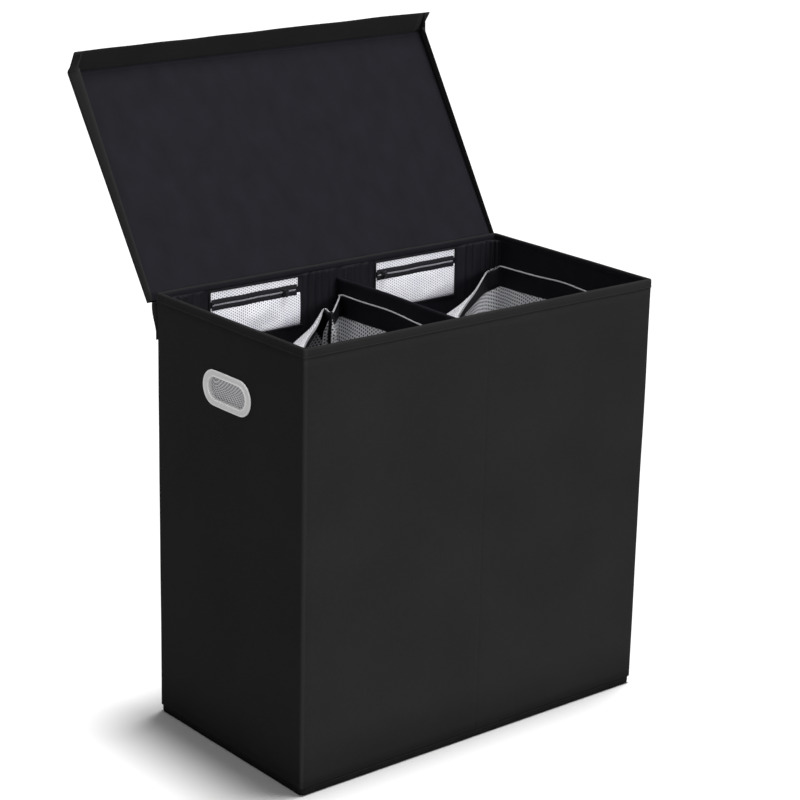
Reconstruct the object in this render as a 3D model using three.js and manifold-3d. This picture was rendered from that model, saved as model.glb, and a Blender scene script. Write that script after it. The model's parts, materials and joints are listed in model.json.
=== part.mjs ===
// A folding laundry hamper with two lift-out bags, a divider, zipped pockets and a lid that leans back.
// Millimetres, +Z up, +Y towards the back, the origin at the centre of the footprint on the floor.
import * as THREE from 'three';
import { mergeVertices } from 'three/addons/utils/BufferGeometryUtils.js';
import Module from 'manifold-3d';

const wasm = await Module();
wasm.setup();

// Overall
const bodyWidth = 640;
const bodyDepth = 350;
const bodyHeight = 648;
const seatGap = 0.3; // between two pieces that touch
const overrun = 5; // how far a cut runs past what it cuts

// Walls, from the outside in
const coverCloth = 1.0;
const wallBoard = 3.0;
const liningCloth = 0.8;
const cornerRadius = 6.5;
const creaseWidth = 3;
const creaseDepth = 0.5;
const boardHinge = 5; // open width between the two boards of a creased wall
const cornerSlit = THREE.MathUtils.degToRad(3);

// The bound rim
const rimCloth = 1.0;
const rimOuterDepth = 14;
const rimInnerDepth = 10;

// Base
const hemHeight = 12;
const hemInset = 1.5;
const hemCloth = 1.0;
const hemCornerRadius = 7;
const baseBoard = 4;

// Hand slots in the two end walls
const slotLength = 87;
const slotHeight = 32.5;
const slotBelowRim = 104;
const slotNeckWall = 1.6;
const slotFlangeEnds = 13; // beyond the hole's round ends
const slotFlangeSides = 10; // above and below the hole
const slotFlangeThickness = 2.4;
const slotFlangeBevel = 0.8;
const slotRingWidth = 8;
const slotRingThickness = 2.0;
const slotMesh = 0.6;
const slotMeshDepth = 3.4; // behind the wall's outside

// Divider
const dividerBoard = 2.6;
const dividerCloth = 0.8;
const dividerBelowRim = 26;
const dividerStripWidth = 24;
const dividerStripThickness = 1.4;
const dividerStripLength = 300;
const dividerStripBelowTop = 18;

// Pockets on the back lining
const pocketWidth = 161;
const pocketTowardsDivider = 6; // from the middle of its bin
const pocketBelowRim = 11;
const pocketHeight = 77.5;
const pocketMesh = 0.5;
const pocketBindingWidth = 4;
const pocketBindingCloth = 0.6;
const zipBelowRim = 32;
const zipTapeHeight = 7;
const zipTapeThickness = 0.5;
const zipChainHeight = 3.6;
const zipChainThickness = 1.2;
const zipSliderLength = 10;
const zipSliderHeight = 9;
const zipSliderPlate = 1.6;
const zipBailPost = 1.4;
const zipBailSpan = 5.6;
const zipBailReach = 3.1;
const zipBailBar = 1.2;
const zipEyeHole = 1.2;
const zipEyeWall = 0.8;
const zipEyeWidth = 4.6;
const zipPullLength = 6.6;
const zipPullWidth = 4.6;
const zipPullThickness = 1.0;
const leftSliderTowardsDivider = 53.5; // from the middle of its pocket
const rightSliderTowardsDivider = 64.5;

// Bags
const bagCloth = 1.4;
const bagEndGap = 4.1; // to the end lining, clear of the ring inside the hand slot
const bagFrontGap = 4.6;
const bagBackGap = 12.1; // clear of the zip pulls
const bagDividerGap = 3;
const bagBelowRim = 48;
const bagSag = 26; // how far the loose corner hangs below the others
const bagSlackDepth = 210; // height over which the loose corner comes away from the wall
const bagBandDepth = 34;
const bagBandCloth = 1.0;
const bagHemThickness = 2.2;
const bagHemHeight = 2.4;
const bagLooseShares = { across: 0.34, along: 0.46 }; // of the bag's width and depth, at the hem

// Lid
const lidLength = 360;
const lidSideOverhang = 12;
const lidBehindBack = 5;
const lidBoard = 3.0;
const lidCloth = 1.0;
const lidLining = 0.8;
const lidRest = 0.5; // between the closed lid and the rim
const lidSideLip = 20; // at its front end
const lidSideLipAtHinge = 12;
const lidSideLipLean = THREE.MathUtils.degToRad(24); // towards the lid's middle
const lidGusset = 10; // how far behind the front edge the gusset meets the side lip
const lidFrontLip = 37;
const lidLipThickness = 2.4;
const lidFrontLipSplay = THREE.MathUtils.degToRad(30);
const lidOpenAngle = THREE.MathUtils.degToRad(122.7);
const openFoldBehind = 11; // where the lid's back edge lies when the lid leans back
const openFoldBelow = 16;
const flapCloth = 1.6;
const flapSeamBelowRim = 58;
const flapSeamHeight = 12;
const flapBow = 4;

// Colours and finishes
const blackCloth = { color: 0x25252a, roughness: 0.9, metalness: 0 };
const liningBlack = { color: 0x1d1c24, roughness: 0.92, metalness: 0 };
const greyBoard = { color: 0x8f8a80, roughness: 0.95, metalness: 0 };
const greyPlastic = { color: 0xc8c8c8, roughness: 0.4, metalness: 0 };
const whiteMesh = { color: 0xe8e8f0, roughness: 0.8, metalness: 0 };
const greyMesh = { color: 0x6a6a70, roughness: 0.85, metalness: 0 };
const paleTape = { color: 0xc4c4c8, roughness: 0.85, metalness: 0 };
const zipBlack = { color: 0x18181c, roughness: 0.7, metalness: 0 };
const zipTeeth = { color: 0xd8d8dc, roughness: 0.45, metalness: 0 };
const zipMetal = { color: 0x303034, roughness: 0.35, metalness: 0.8 };

// Places that several pieces share
const halfWidth = bodyWidth / 2;
const halfDepth = bodyDepth / 2;
const boardInset = coverCloth + seatGap;
const liningInset = boardInset + wallBoard + seatGap;
const wallThickness = liningInset + liningCloth;
const wallFoot = hemHeight + seatGap;
const baseBoardFoot = hemCloth + seatGap;
const insideFloor = baseBoardFoot + baseBoard + seatGap;
const dividerHalf = dividerBoard / 2 + seatGap + dividerCloth;
const binMiddle = (halfWidth - wallThickness + dividerHalf) / 2;
const quarterTurn = Math.PI / 2;

const hamper = new THREE.Group();

function add(parent, name, geometry, finish) {
  const mesh = new THREE.Mesh(geometry, new THREE.MeshStandardMaterial(finish));
  mesh.name = name;
  parent.add(mesh);
  return mesh;
}

// Geometry helpers

function toShape(outline, holes = []) {
  const shape = new THREE.Shape(outline.map(([u, v]) => new THREE.Vector2(u, v)));
  shape.holes = holes.map((hole) => new THREE.Path(hole.map(([u, v]) => new THREE.Vector2(u, v))));
  return shape;
}

function extrude(outline, length, holes) {
  return new THREE.ExtrudeGeometry(toShape(outline, holes), { depth: length, bevelEnabled: false });
}

function turned(geometry, right, up, outwards) {
  return geometry.applyMatrix4(new THREE.Matrix4().makeBasis(right, up, outwards));
}

const along = {
  x: new THREE.Vector3(1, 0, 0),
  y: new THREE.Vector3(0, 1, 0),
  z: new THREE.Vector3(0, 0, 1),
};
const forwards = along.y.clone().negate();

// An outline in plan, from one height to another.
function plan(outline, low, high, holes) {
  return extrude(outline, high - low, holes).translate(0, 0, low);
}

// An outline in (y, z), seen from the side, from one x to another.
function side(outline, left, right, holes) {
  return turned(extrude(outline, right - left, holes), along.y, along.z, along.x).translate(left, 0, 0);
}

// An outline in (x, z), seen from the front, from one y to another.
function face(outline, near, far, holes) {
  return turned(extrude(outline, far - near, holes), along.x, along.z, forwards).translate(0, far, 0);
}

function rectangle(left, right, low, high) {
  return [[left, low], [right, low], [right, high], [left, high]];
}

function block([left, right], [near, far], [low, high]) {
  return plan(rectangle(left, right, near, far), low, high);
}

// A slot outline with round ends, its middle at (0, middle).
function stadium(length, height, middle, steps = 10) {
  const radius = height / 2;
  const straight = length / 2 - radius;
  const points = [];
  for (const end of [1, -1]) {
    for (let i = 0; i <= steps; i += 1) {
      const angle = end * -quarterTurn + (i / steps) * Math.PI;
      points.push([end * straight + radius * Math.cos(angle), middle + radius * Math.sin(angle)]);
    }
  }
  return points;
}

function signedVolume(positions, index) {
  const [a, b, c] = [new THREE.Vector3(), new THREE.Vector3(), new THREE.Vector3()];
  let total = 0;
  for (let i = 0; i < index.length; i += 3) {
    a.fromArray(positions, 3 * index[i]);
    b.fromArray(positions, 3 * index[i + 1]);
    c.fromArray(positions, 3 * index[i + 2]);
    total += a.dot(b.cross(c));
  }
  return total;
}

// A mesh of rings of equal length. Neighbours are joined. The end rings are capped, or joined to each other.
// A bent sheet's two faces fold along the same lines: a fold rises from a point to the next one above.
function ringsToGeometry(rings, capOutline) {
  const count = rings[0].length;
  const positions = rings.flat(2);
  const index = [];
  const closes = capOutline === undefined;
  const spans = closes ? rings.length : rings.length - 1;
  for (let i = 0; i < spans; i += 1) {
    const after = (i + 1) % rings.length;
    const here = i * count;
    const next = after * count;
    const rises = rings[after][0][2] > rings[i][0][2];
    for (let j = 0; j < count; j += 1) {
      const k = (j + 1) % count;
      const [a, b, c, d] = rises
        ? [here + j, here + k, next + k, next + j]
        : [here + k, next + k, next + j, here + j];
      index.push(a, b, c, a, c, d);
    }
  }
  if (!closes) {
    const contour = capOutline.map(([u, v]) => new THREE.Vector2(u, v));
    const clockwise = THREE.ShapeUtils.isClockWise(contour);
    const last = (rings.length - 1) * count;
    for (const triangle of THREE.ShapeUtils.triangulateShape(contour, [])) {
      const [a, b, c] = clockwise ? triangle : triangle.toReversed();
      index.push(a, b, c, last + c, last + b, last + a);
    }
  }
  if (signedVolume(positions, index) < 0) index.reverse();
  const geometry = new THREE.BufferGeometry();
  geometry.setAttribute('position', new THREE.Float32BufferAttribute(positions, 3));
  geometry.setIndex(index);
  geometry.computeVertexNormals();
  return geometry;
}

function toSolid(geometry) {
  const bare = geometry.clone();
  bare.deleteAttribute('normal');
  bare.deleteAttribute('uv');
  const merged = mergeVertices(bare);
  return new wasm.Manifold(new wasm.Mesh({
    numProp: 3,
    vertProperties: new Float32Array(merged.attributes.position.array),
    triVerts: new Uint32Array(merged.index.array),
  }));
}

function toGeometry(solid) {
  const mesh = solid.getMesh();
  const geometry = new THREE.BufferGeometry();
  geometry.setAttribute('position', new THREE.BufferAttribute(mesh.vertProperties, 3));
  geometry.setIndex(new THREE.BufferAttribute(mesh.triVerts, 1));
  geometry.computeVertexNormals();
  return geometry;
}

function cut(geometry, ...cutters) {
  return toGeometry(cutters.reduce((solid, cutter) => solid.subtract(toSolid(cutter)), toSolid(geometry)));
}

function join(...geometries) {
  return toGeometry(geometries.map(toSolid).reduce((whole, piece) => whole.add(piece)));
}

// Walls. Each is made as the back wall is, with its outside facing +y, and then turned into place.

const walls = {
  back: { turn: 0, length: bodyWidth, reach: halfDepth, creased: true },
  left: { turn: quarterTurn, length: bodyDepth, reach: halfWidth, creased: false },
  front: { turn: 2 * quarterTurn, length: bodyWidth, reach: halfDepth, creased: true },
  right: { turn: -quarterTurn, length: bodyDepth, reach: halfWidth, creased: false },
};

// The outside line of a wall, from the middle of one rounded corner to the middle of the next.
function wallLine({ length, reach }, creased, steps = 3) {
  const straight = length / 2 - cornerRadius;
  const points = [];
  const corner = (end, from, to) => {
    for (let i = 0; i <= steps; i += 1) {
      const angle = from + (i / steps) * (to - from);
      const out = [Math.cos(angle), Math.sin(angle)];
      points.push({
        at: [end * straight + cornerRadius * out[0], reach - cornerRadius + cornerRadius * out[1]],
        out,
      });
    }
  };
  corner(-1, 1.5 * quarterTurn - cornerSlit, quarterTurn);
  if (creased) {
    for (const [x, depth] of [[-creaseWidth, 0], [0, creaseDepth], [creaseWidth, 0]]) {
      points.push({ at: [x, reach - depth], out: [0, 1] });
    }
  }
  corner(1, quarterTurn, quarterTurn / 2 + cornerSlit);
  return points;
}

// A band of cloth along a wall. The section's points are (distance in from the outside, height).
function wallBand(wall, section, creased = false) {
  const rings = wallLine(wall, creased).map(({ at, out }) => (
    section.map(([inset, height]) => [at[0] - inset * out[0], at[1] - inset * out[1], height])
  ));
  return ringsToGeometry(rings, section);
}

function place(name, geometry, finish, wall) {
  add(hamper, name, geometry, finish).rotation.z = wall.turn;
}

const slotMiddle = bodyHeight - slotBelowRim;
const slotCutGrowth = 2 * (slotNeckWall + seatGap);

function slotCutter(wall) {
  const outline = stadium(slotLength + slotCutGrowth, slotHeight + slotCutGrowth, slotMiddle);
  return face(outline, wall.reach - wallThickness - overrun, wall.reach + overrun);
}

function clothPanel(wall, inset, thickness, low, high, creased) {
  const panel = wallBand(wall, rectangle(inset, inset + thickness, low, high), creased);
  return wall.creased ? panel : cut(panel, slotCutter(wall));
}

function buildWalls() {
  const boardTop = bodyHeight - rimCloth - seatGap;
  for (const [wallName, wall] of Object.entries(walls)) {
    const outerTop = bodyHeight - rimOuterDepth - seatGap;
    const innerTop = bodyHeight - rimInnerDepth - seatGap;
    const cover = clothPanel(wall, 0, coverCloth, wallFoot, outerTop, wall.creased);
    const lining = clothPanel(wall, liningInset, liningCloth, wallFoot, innerTop);
    place(`${wallName}_cover`, cover, blackCloth, wall);
    place(`${wallName}_lining`, lining, liningBlack, wall);
    const end = wall.length / 2 - cornerRadius;
    const depth = [wall.reach - boardInset - wallBoard, wall.reach - boardInset];
    if (wall.creased) {
      const left = block([-end, -boardHinge / 2], depth, [wallFoot, boardTop]);
      const right = block([boardHinge / 2, end], depth, [wallFoot, boardTop]);
      const [leftName, rightName] = wall.turn === 0 ? ['left', 'right'] : ['right', 'left'];
      place(`${wallName}_${leftName}_board`, left, greyBoard, wall);
      place(`${wallName}_${rightName}_board`, right, greyBoard, wall);
    } else {
      const board = block([-end, end], depth, [wallFoot, boardTop]);
      place(`${wallName}_board`, cut(board, slotCutter(wall)), greyBoard, wall);
    }
    const rim = [
      [0, bodyHeight - rimOuterDepth],
      [coverCloth, bodyHeight - rimOuterDepth],
      [coverCloth, bodyHeight - rimCloth],
      [liningInset, bodyHeight - rimCloth],
      [liningInset, bodyHeight - rimInnerDepth],
      [wallThickness, bodyHeight - rimInnerDepth],
      [wallThickness, bodyHeight],
      [0, bodyHeight],
    ];
    place(`${wallName}_rim_binding`, wallBand(wall, rim), blackCloth, wall);
  }
}

// Hand slots: a collar pushed through from the outside, a ring snapped on inside and a mesh across the hole.
function buildHandSlots() {
  for (const wallName of ['left', 'right']) {
    const wall = walls[wallName];
    const hole = stadium(slotLength, slotHeight, slotMiddle);
    const neckOutline = stadium(slotLength + 2 * slotNeckWall, slotHeight + 2 * slotNeckWall, slotMiddle);
    const flangeOutline = stadium(
      slotLength + 2 * (slotFlangeEnds - slotFlangeBevel),
      slotHeight + 2 * (slotFlangeSides - slotFlangeBevel),
      slotMiddle,
    );
    const seat = wall.reach + seatGap;
    const ringBack = wall.reach - wallThickness - seatGap;
    const ringFront = ringBack - slotRingThickness;
    const flange = turned(
      new THREE.ExtrudeGeometry(toShape(flangeOutline), {
        depth: slotFlangeThickness - slotFlangeBevel,
        bevelSize: slotFlangeBevel,
        bevelThickness: slotFlangeBevel,
        bevelSegments: 2,
      }),
      along.x,
      along.z,
      forwards,
    ).translate(0, seat + slotFlangeThickness - slotFlangeBevel, 0);
    const trimmed = cut(flange, block(
      [-wall.length, wall.length],
      [seat - slotFlangeThickness, seat],
      [0, bodyHeight],
    ));
    const neck = face(neckOutline, ringFront, seat + slotFlangeThickness / 2);
    const collar = cut(join(trimmed, neck), face(hole, ringFront - overrun, seat + overrun));
    place(`${wallName}_slot_collar`, collar, greyPlastic, wall);
    const ringGrowth = slotCutGrowth + 2 * slotRingWidth;
    const ring = face(
      stadium(slotLength + ringGrowth, slotHeight + ringGrowth, slotMiddle),
      ringFront,
      ringBack,
      [stadium(slotLength + slotCutGrowth, slotHeight + slotCutGrowth, slotMiddle)],
    );
    place(`${wallName}_slot_ring`, ring, greyPlastic, wall);
    const meshOutline = stadium(slotLength - 2 * seatGap, slotHeight - 2 * seatGap, slotMiddle);
    const meshFront = wall.reach - slotMeshDepth;
    place(`${wallName}_slot_mesh`, face(meshOutline, meshFront - slotMesh, meshFront), greyMesh, wall);
  }
}

// A rectangle in plan with rounded corners.
function roundedPlan(halfX, halfY, radius, steps = 5) {
  const points = [];
  for (let quarter = 0; quarter < 4; quarter += 1) {
    const signs = [[1, 1], [-1, 1], [-1, -1], [1, -1]][quarter];
    for (let i = 0; i <= steps; i += 1) {
      const angle = (quarter + i / steps) * quarterTurn;
      points.push([
        signs[0] * (halfX - radius) + radius * Math.cos(angle),
        signs[1] * (halfY - radius) + radius * Math.sin(angle),
      ]);
    }
  }
  return points;
}

// Base: a shallow tray of cloth whose edge is the hem, and the board that lies in it.
function buildBase() {
  const outer = roundedPlan(halfWidth - hemInset, halfDepth - hemInset, hemCornerRadius);
  const inner = roundedPlan(
    halfWidth - hemInset - hemCloth,
    halfDepth - hemInset - hemCloth,
    hemCornerRadius - hemCloth,
  );
  const tray = cut(plan(outer, 0, hemHeight), plan(inner, hemCloth, hemHeight + overrun));
  add(hamper, 'base_cloth', tray, blackCloth);
  const boardPlan = roundedPlan(
    halfWidth - hemInset - hemCloth - seatGap,
    halfDepth - hemInset - hemCloth - seatGap,
    hemCornerRadius - hemCloth - seatGap,
  );
  add(hamper, 'base_board', plan(boardPlan, baseBoardFoot, baseBoardFoot + baseBoard), greyBoard);
}

// Divider: a board in a sleeve that is open below, held at its ends by hook-and-loop strips on the linings.
function buildDivider() {
  const top = bodyHeight - dividerBelowRim;
  const reach = halfDepth - wallThickness - seatGap - dividerStripThickness - seatGap;
  const sleeve = block([-dividerHalf, dividerHalf], [-reach, reach], [insideFloor, top]);
  const hollow = block(
    [-dividerHalf + dividerCloth, dividerHalf - dividerCloth],
    [-reach + dividerCloth, reach - dividerCloth],
    [insideFloor - overrun, top - dividerCloth],
  );
  add(hamper, 'divider_cover', cut(sleeve, hollow), liningBlack);
  const boardReach = reach - dividerCloth - seatGap;
  add(hamper, 'divider_board', block(
    [-dividerBoard / 2, dividerBoard / 2],
    [-boardReach, boardReach],
    [insideFloor, top - dividerCloth - seatGap],
  ), greyBoard);
  for (const wallName of ['front', 'back']) {
    const wall = walls[wallName];
    const outside = wall.reach - wallThickness - seatGap;
    const stripTop = top - dividerStripBelowTop;
    place(`divider_${wallName}_strip`, block(
      [-dividerStripWidth / 2, dividerStripWidth / 2],
      [outside - dividerStripThickness, outside],
      [stripTop - dividerStripLength, stripTop],
    ), liningBlack, wall);
  }
}

// Pockets: a mesh panel in two parts, a binding round it, a zip between the parts, its slider and its pull.
const pocketOutside = halfDepth - wallThickness - seatGap;
const tapeOutside = pocketOutside - pocketMesh - seatGap;
const chainOutside = tapeOutside - zipTapeThickness - seatGap;
const sliderInside = chainOutside - zipChainThickness - seatGap;
const zipMiddle = bodyHeight - zipBelowRim;

function buildPocket(name, middle) {
  const left = middle - pocketWidth / 2;
  const right = middle + pocketWidth / 2;
  const top = bodyHeight - pocketBelowRim;
  const bottom = top - pocketHeight;
  const meshDepth = [pocketOutside - pocketMesh, pocketOutside];
  const opening = zipChainHeight / 2;
  const meshAbove = block([left, right], meshDepth, [zipMiddle + opening, top]);
  const meshBelow = block([left, right], meshDepth, [bottom, zipMiddle - opening]);
  add(hamper, `${name}_pocket_top_mesh`, meshAbove, whiteMesh);
  add(hamper, `${name}_pocket_mesh`, meshBelow, whiteMesh);
  const tapeDepth = [tapeOutside - zipTapeThickness, tapeOutside];
  const tapeGap = seatGap / 2;
  const tapeEnds = [left + pocketBindingWidth, right - pocketBindingWidth];
  add(hamper, `${name}_zip_upper_tape`, block(
    tapeEnds,
    tapeDepth,
    [zipMiddle + tapeGap, zipMiddle + tapeGap + zipTapeHeight],
  ), zipBlack);
  add(hamper, `${name}_zip_lower_tape`, block(
    tapeEnds,
    tapeDepth,
    [zipMiddle - tapeGap - zipTapeHeight, zipMiddle - tapeGap],
  ), zipBlack);
  add(hamper, `${name}_zip_chain`, block(
    tapeEnds,
    [chainOutside - zipChainThickness, chainOutside],
    [zipMiddle - zipChainHeight / 2, zipMiddle + zipChainHeight / 2],
  ), zipTeeth);
  const bindingDepth = [tapeOutside - pocketBindingCloth, tapeOutside];
  const binding = face(
    rectangle(left - seatGap, right + seatGap, bottom - seatGap, top + seatGap),
    ...bindingDepth,
    [rectangle(
      left + pocketBindingWidth - seatGap,
      right - pocketBindingWidth + seatGap,
      bottom + pocketBindingWidth,
      top - pocketBindingWidth,
    )],
  );
  add(hamper, `${name}_pocket_binding`, binding, liningBlack);
}

function buildZipSlider(name, middle) {
  const plateInside = sliderInside - zipSliderPlate;
  const halfLength = zipSliderLength / 2;
  const halfHeight = zipSliderHeight / 2;
  const channel = zipChainHeight / 2 + seatGap;
  const plate = [
    [plateInside, zipMiddle - halfHeight],
    [chainOutside, zipMiddle - halfHeight],
    [chainOutside, zipMiddle - channel],
    [sliderInside, zipMiddle - channel],
    [sliderInside, zipMiddle + channel],
    [chainOutside, zipMiddle + channel],
    [chainOutside, zipMiddle + halfHeight],
    [plateInside, zipMiddle + halfHeight],
  ];
  const body = side(plate, middle - halfLength, middle + halfLength);
  const barInside = plateInside - zipBailReach;
  const barHeight = [zipMiddle - zipBailBar / 2, zipMiddle + zipBailBar / 2];
  const innerHalf = zipBailSpan / 2;
  const outerHalf = innerHalf + zipBailPost;
  const root = plateInside + zipSliderPlate / 2;
  const bail = plan([
    [middle - outerHalf, root],
    [middle - outerHalf, barInside],
    [middle + outerHalf, barInside],
    [middle + outerHalf, root],
    [middle + innerHalf, root],
    [middle + innerHalf, barInside + zipBailBar],
    [middle - innerHalf, barInside + zipBailBar],
    [middle - innerHalf, root],
  ], ...barHeight);
  add(hamper, `${name}_zip_slider`, join(body, bail), zipMetal);

  const axis = [barInside + zipBailBar / 2, zipMiddle];
  const circle = (radius, count = 16) => Array.from({ length: count }, (_, i) => {
    const angle = (i / count) * 2 * Math.PI;
    return [axis[0] + radius * Math.cos(angle), axis[1] + radius * Math.sin(angle)];
  });
  const eyeRadius = zipEyeHole + zipEyeWall;
  const hole = side(circle(zipEyeHole), middle - zipEyeWidth, middle + zipEyeWidth);
  const eye = side(circle(eyeRadius), middle - zipEyeWidth / 2, middle + zipEyeWidth / 2);
  const tongueDepth = [axis[0] - zipPullThickness / 2, axis[0] + zipPullThickness / 2];
  const neck = block(
    [middle - zipEyeWidth / 2, middle + zipEyeWidth / 2],
    tongueDepth,
    [zipMiddle - eyeRadius - zipEyeWall, zipMiddle - zipEyeHole],
  );
  const tongueTop = zipMiddle - eyeRadius - zipEyeWall / 2;
  const tongueFoot = zipMiddle - zipPullLength;
  const tongue = face([
    [middle - zipEyeWidth / 2, tongueTop],
    [middle - zipPullWidth / 2, tongueTop - zipPullWidth / 2],
    [middle - zipPullWidth / 2, tongueFoot + zipPullWidth / 4],
    [middle - zipPullWidth / 4, tongueFoot],
    [middle + zipPullWidth / 4, tongueFoot],
    [middle + zipPullWidth / 2, tongueFoot + zipPullWidth / 4],
    [middle + zipPullWidth / 2, tongueTop - zipPullWidth / 2],
    [middle + zipEyeWidth / 2, tongueTop],
  ], ...tongueDepth);
  add(hamper, `${name}_zip_pull`, cut(join(eye, neck, tongue), hole), zipMetal);
}

// Bags. A bag hangs from three corners of its hem, and its back left corner has come away from the wall.
const bagSideSteps = 6;
const bagBodySteps = 8;
const bagBandSteps = 3;

function smooth(share) {
  const s = THREE.MathUtils.clamp(share, 0, 1);
  return s * s * (3 - 2 * s);
}

// The corners of the bag's hem in order, each with how far it hangs below the hem's height.
function bagCorners(left, right, near, far) {
  return [
    { square: [left, near], loose: [left, near], drop: 0 },
    { square: [right, near], loose: [right, near], drop: 0 },
    { square: [right, far], loose: [right, far], drop: 0 },
    {
      square: [left, far],
      loose: [
        left + bagLooseShares.across * (right - left),
        near + bagLooseShares.along * (far - near),
      ],
      drop: bagSag,
    },
  ];
}

// One ring of a bag, a distance in from its outside, at a share of its height and a rise above that.
function bagRing(corners, inset, low, high, level, rise = 0) {
  const slackFrom = 1 - bagSlackDepth / (high - low);
  const away = smooth((level - slackFrom) / (1 - slackFrom));
  const outline = corners.map(({ square, loose, drop }) => ({
    at: new THREE.Vector2(
      THREE.MathUtils.lerp(square[0], loose[0], away),
      THREE.MathUtils.lerp(square[1], loose[1], away),
    ),
    drop,
  }));
  const inner = outline.map(({ at }, i) => {
    const before = outline[(i + 3) % 4].at;
    const after = outline[(i + 1) % 4].at;
    const incoming = at.clone().sub(before).normalize();
    const outgoing = after.clone().sub(at).normalize();
    const normalIn = new THREE.Vector2(-incoming.y, incoming.x);
    const normalOut = new THREE.Vector2(-outgoing.y, outgoing.x);
    const mitre = normalIn.add(normalOut);
    const scale = (2 * inset) / mitre.lengthSq();
    return at.clone().addScaledVector(mitre, scale);
  });
  const ring = [];
  for (let i = 0; i < 4; i += 1) {
    const j = (i + 1) % 4;
    for (let k = 0; k < bagSideSteps; k += 1) {
      const share = k / bagSideSteps;
      const at = inner[i].clone().lerp(inner[j], share);
      const drop = THREE.MathUtils.lerp(outline[i].drop, outline[j].drop, smooth(share));
      ring.push([at.x, at.y, low + level * (high - drop - low) + rise]);
    }
  }
  return ring;
}

function levels(from, to, steps) {
  return Array.from({ length: steps + 1 }, (_, i) => from + (i / steps) * (to - from));
}

// A closed strip round a bag, from one inset to another. Each of its edges is [level, rise above it].
function bagStrip(corners, [outer, inner], low, high, edges) {
  const rings = (inset) => edges.map(([level, rise]) => bagRing(corners, inset, low, high, level, rise));
  return ringsToGeometry([...rings(outer), ...rings(inner).reverse()]);
}

function bagShell(corners, low, high, bandLevels) {
  const upTo = (from) => [...levels(from, bandLevels[0], bagBodySteps).slice(0, -1), ...bandLevels];
  const outside = upTo(0).map((level) => bagRing(corners, 0, low, high, level));
  const inside = upTo(bagCloth / (high - low))
    .map((level) => bagRing(corners, bagCloth, low, high, level))
    .reverse();
  const rings = [...outside, ...inside];
  const outline = rings[0].map(([x, y]) => [x, y]);
  return ringsToGeometry(rings, outline);
}

function buildBag(name, left, right) {
  const near = -halfDepth + wallThickness + bagFrontGap;
  const far = halfDepth - wallThickness - bagBackGap;
  const low = insideFloor;
  const high = bodyHeight - bagBelowRim;
  const corners = bagCorners(left, right, near, far);
  const bandLevels = levels(1 - bagBandDepth / (high - low), 1, bagBandSteps);
  const bandInset = bagCloth + seatGap;
  const bandInsets = [bandInset, bandInset + bagBandCloth];
  const bandEdges = bandLevels.map((level) => [level, 0]);
  const hemInsets = [0, bagHemThickness];
  const hemEdges = [[1, seatGap], [1, seatGap + bagHemHeight]];
  add(hamper, `${name}_bag`, bagShell(corners, low, high, bandLevels), greyMesh);
  add(hamper, `${name}_bag_band`, bagStrip(corners, bandInsets, low, high, bandEdges), liningBlack);
  add(hamper, `${name}_bag_hem`, bagStrip(corners, hemInsets, low, high, hemEdges), paleTape);
}

// Lid. It is made closed, lying on the rim, inside a group that turns it back about the hinge line.
const lidUnder = bodyHeight + lidRest;
const lidThickness = lidLining + lidBoard + lidCloth + 2 * seatGap;
const lidTop = lidUnder + lidThickness;
const lidBack = halfDepth + lidBehindBack;
const lidFront = lidBack - lidLength;
const lidHalf = halfWidth + lidSideOverhang;

// The centre of the turn that takes the lid's back edge from its closed place to its open one.
function findHinge() {
  const closed = new THREE.Vector2(lidBack, lidUnder + lidThickness / 2);
  const open = new THREE.Vector2(halfDepth + openFoldBehind, bodyHeight - openFoldBelow);
  const across = open.clone().sub(closed);
  const slope = 1 / (2 * Math.tan(-lidOpenAngle / 2));
  return closed.add(open).divideScalar(2).add(new THREE.Vector2(-across.y, across.x).multiplyScalar(slope));
}

const hinge = findHinge();

// A point of the closed lid, in (y, z), where it goes when the lid opens.
function opened(y, z) {
  const point = new THREE.Vector2(y, z).rotateAround(hinge, -lidOpenAngle);
  return [point.x, point.y];
}

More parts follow.
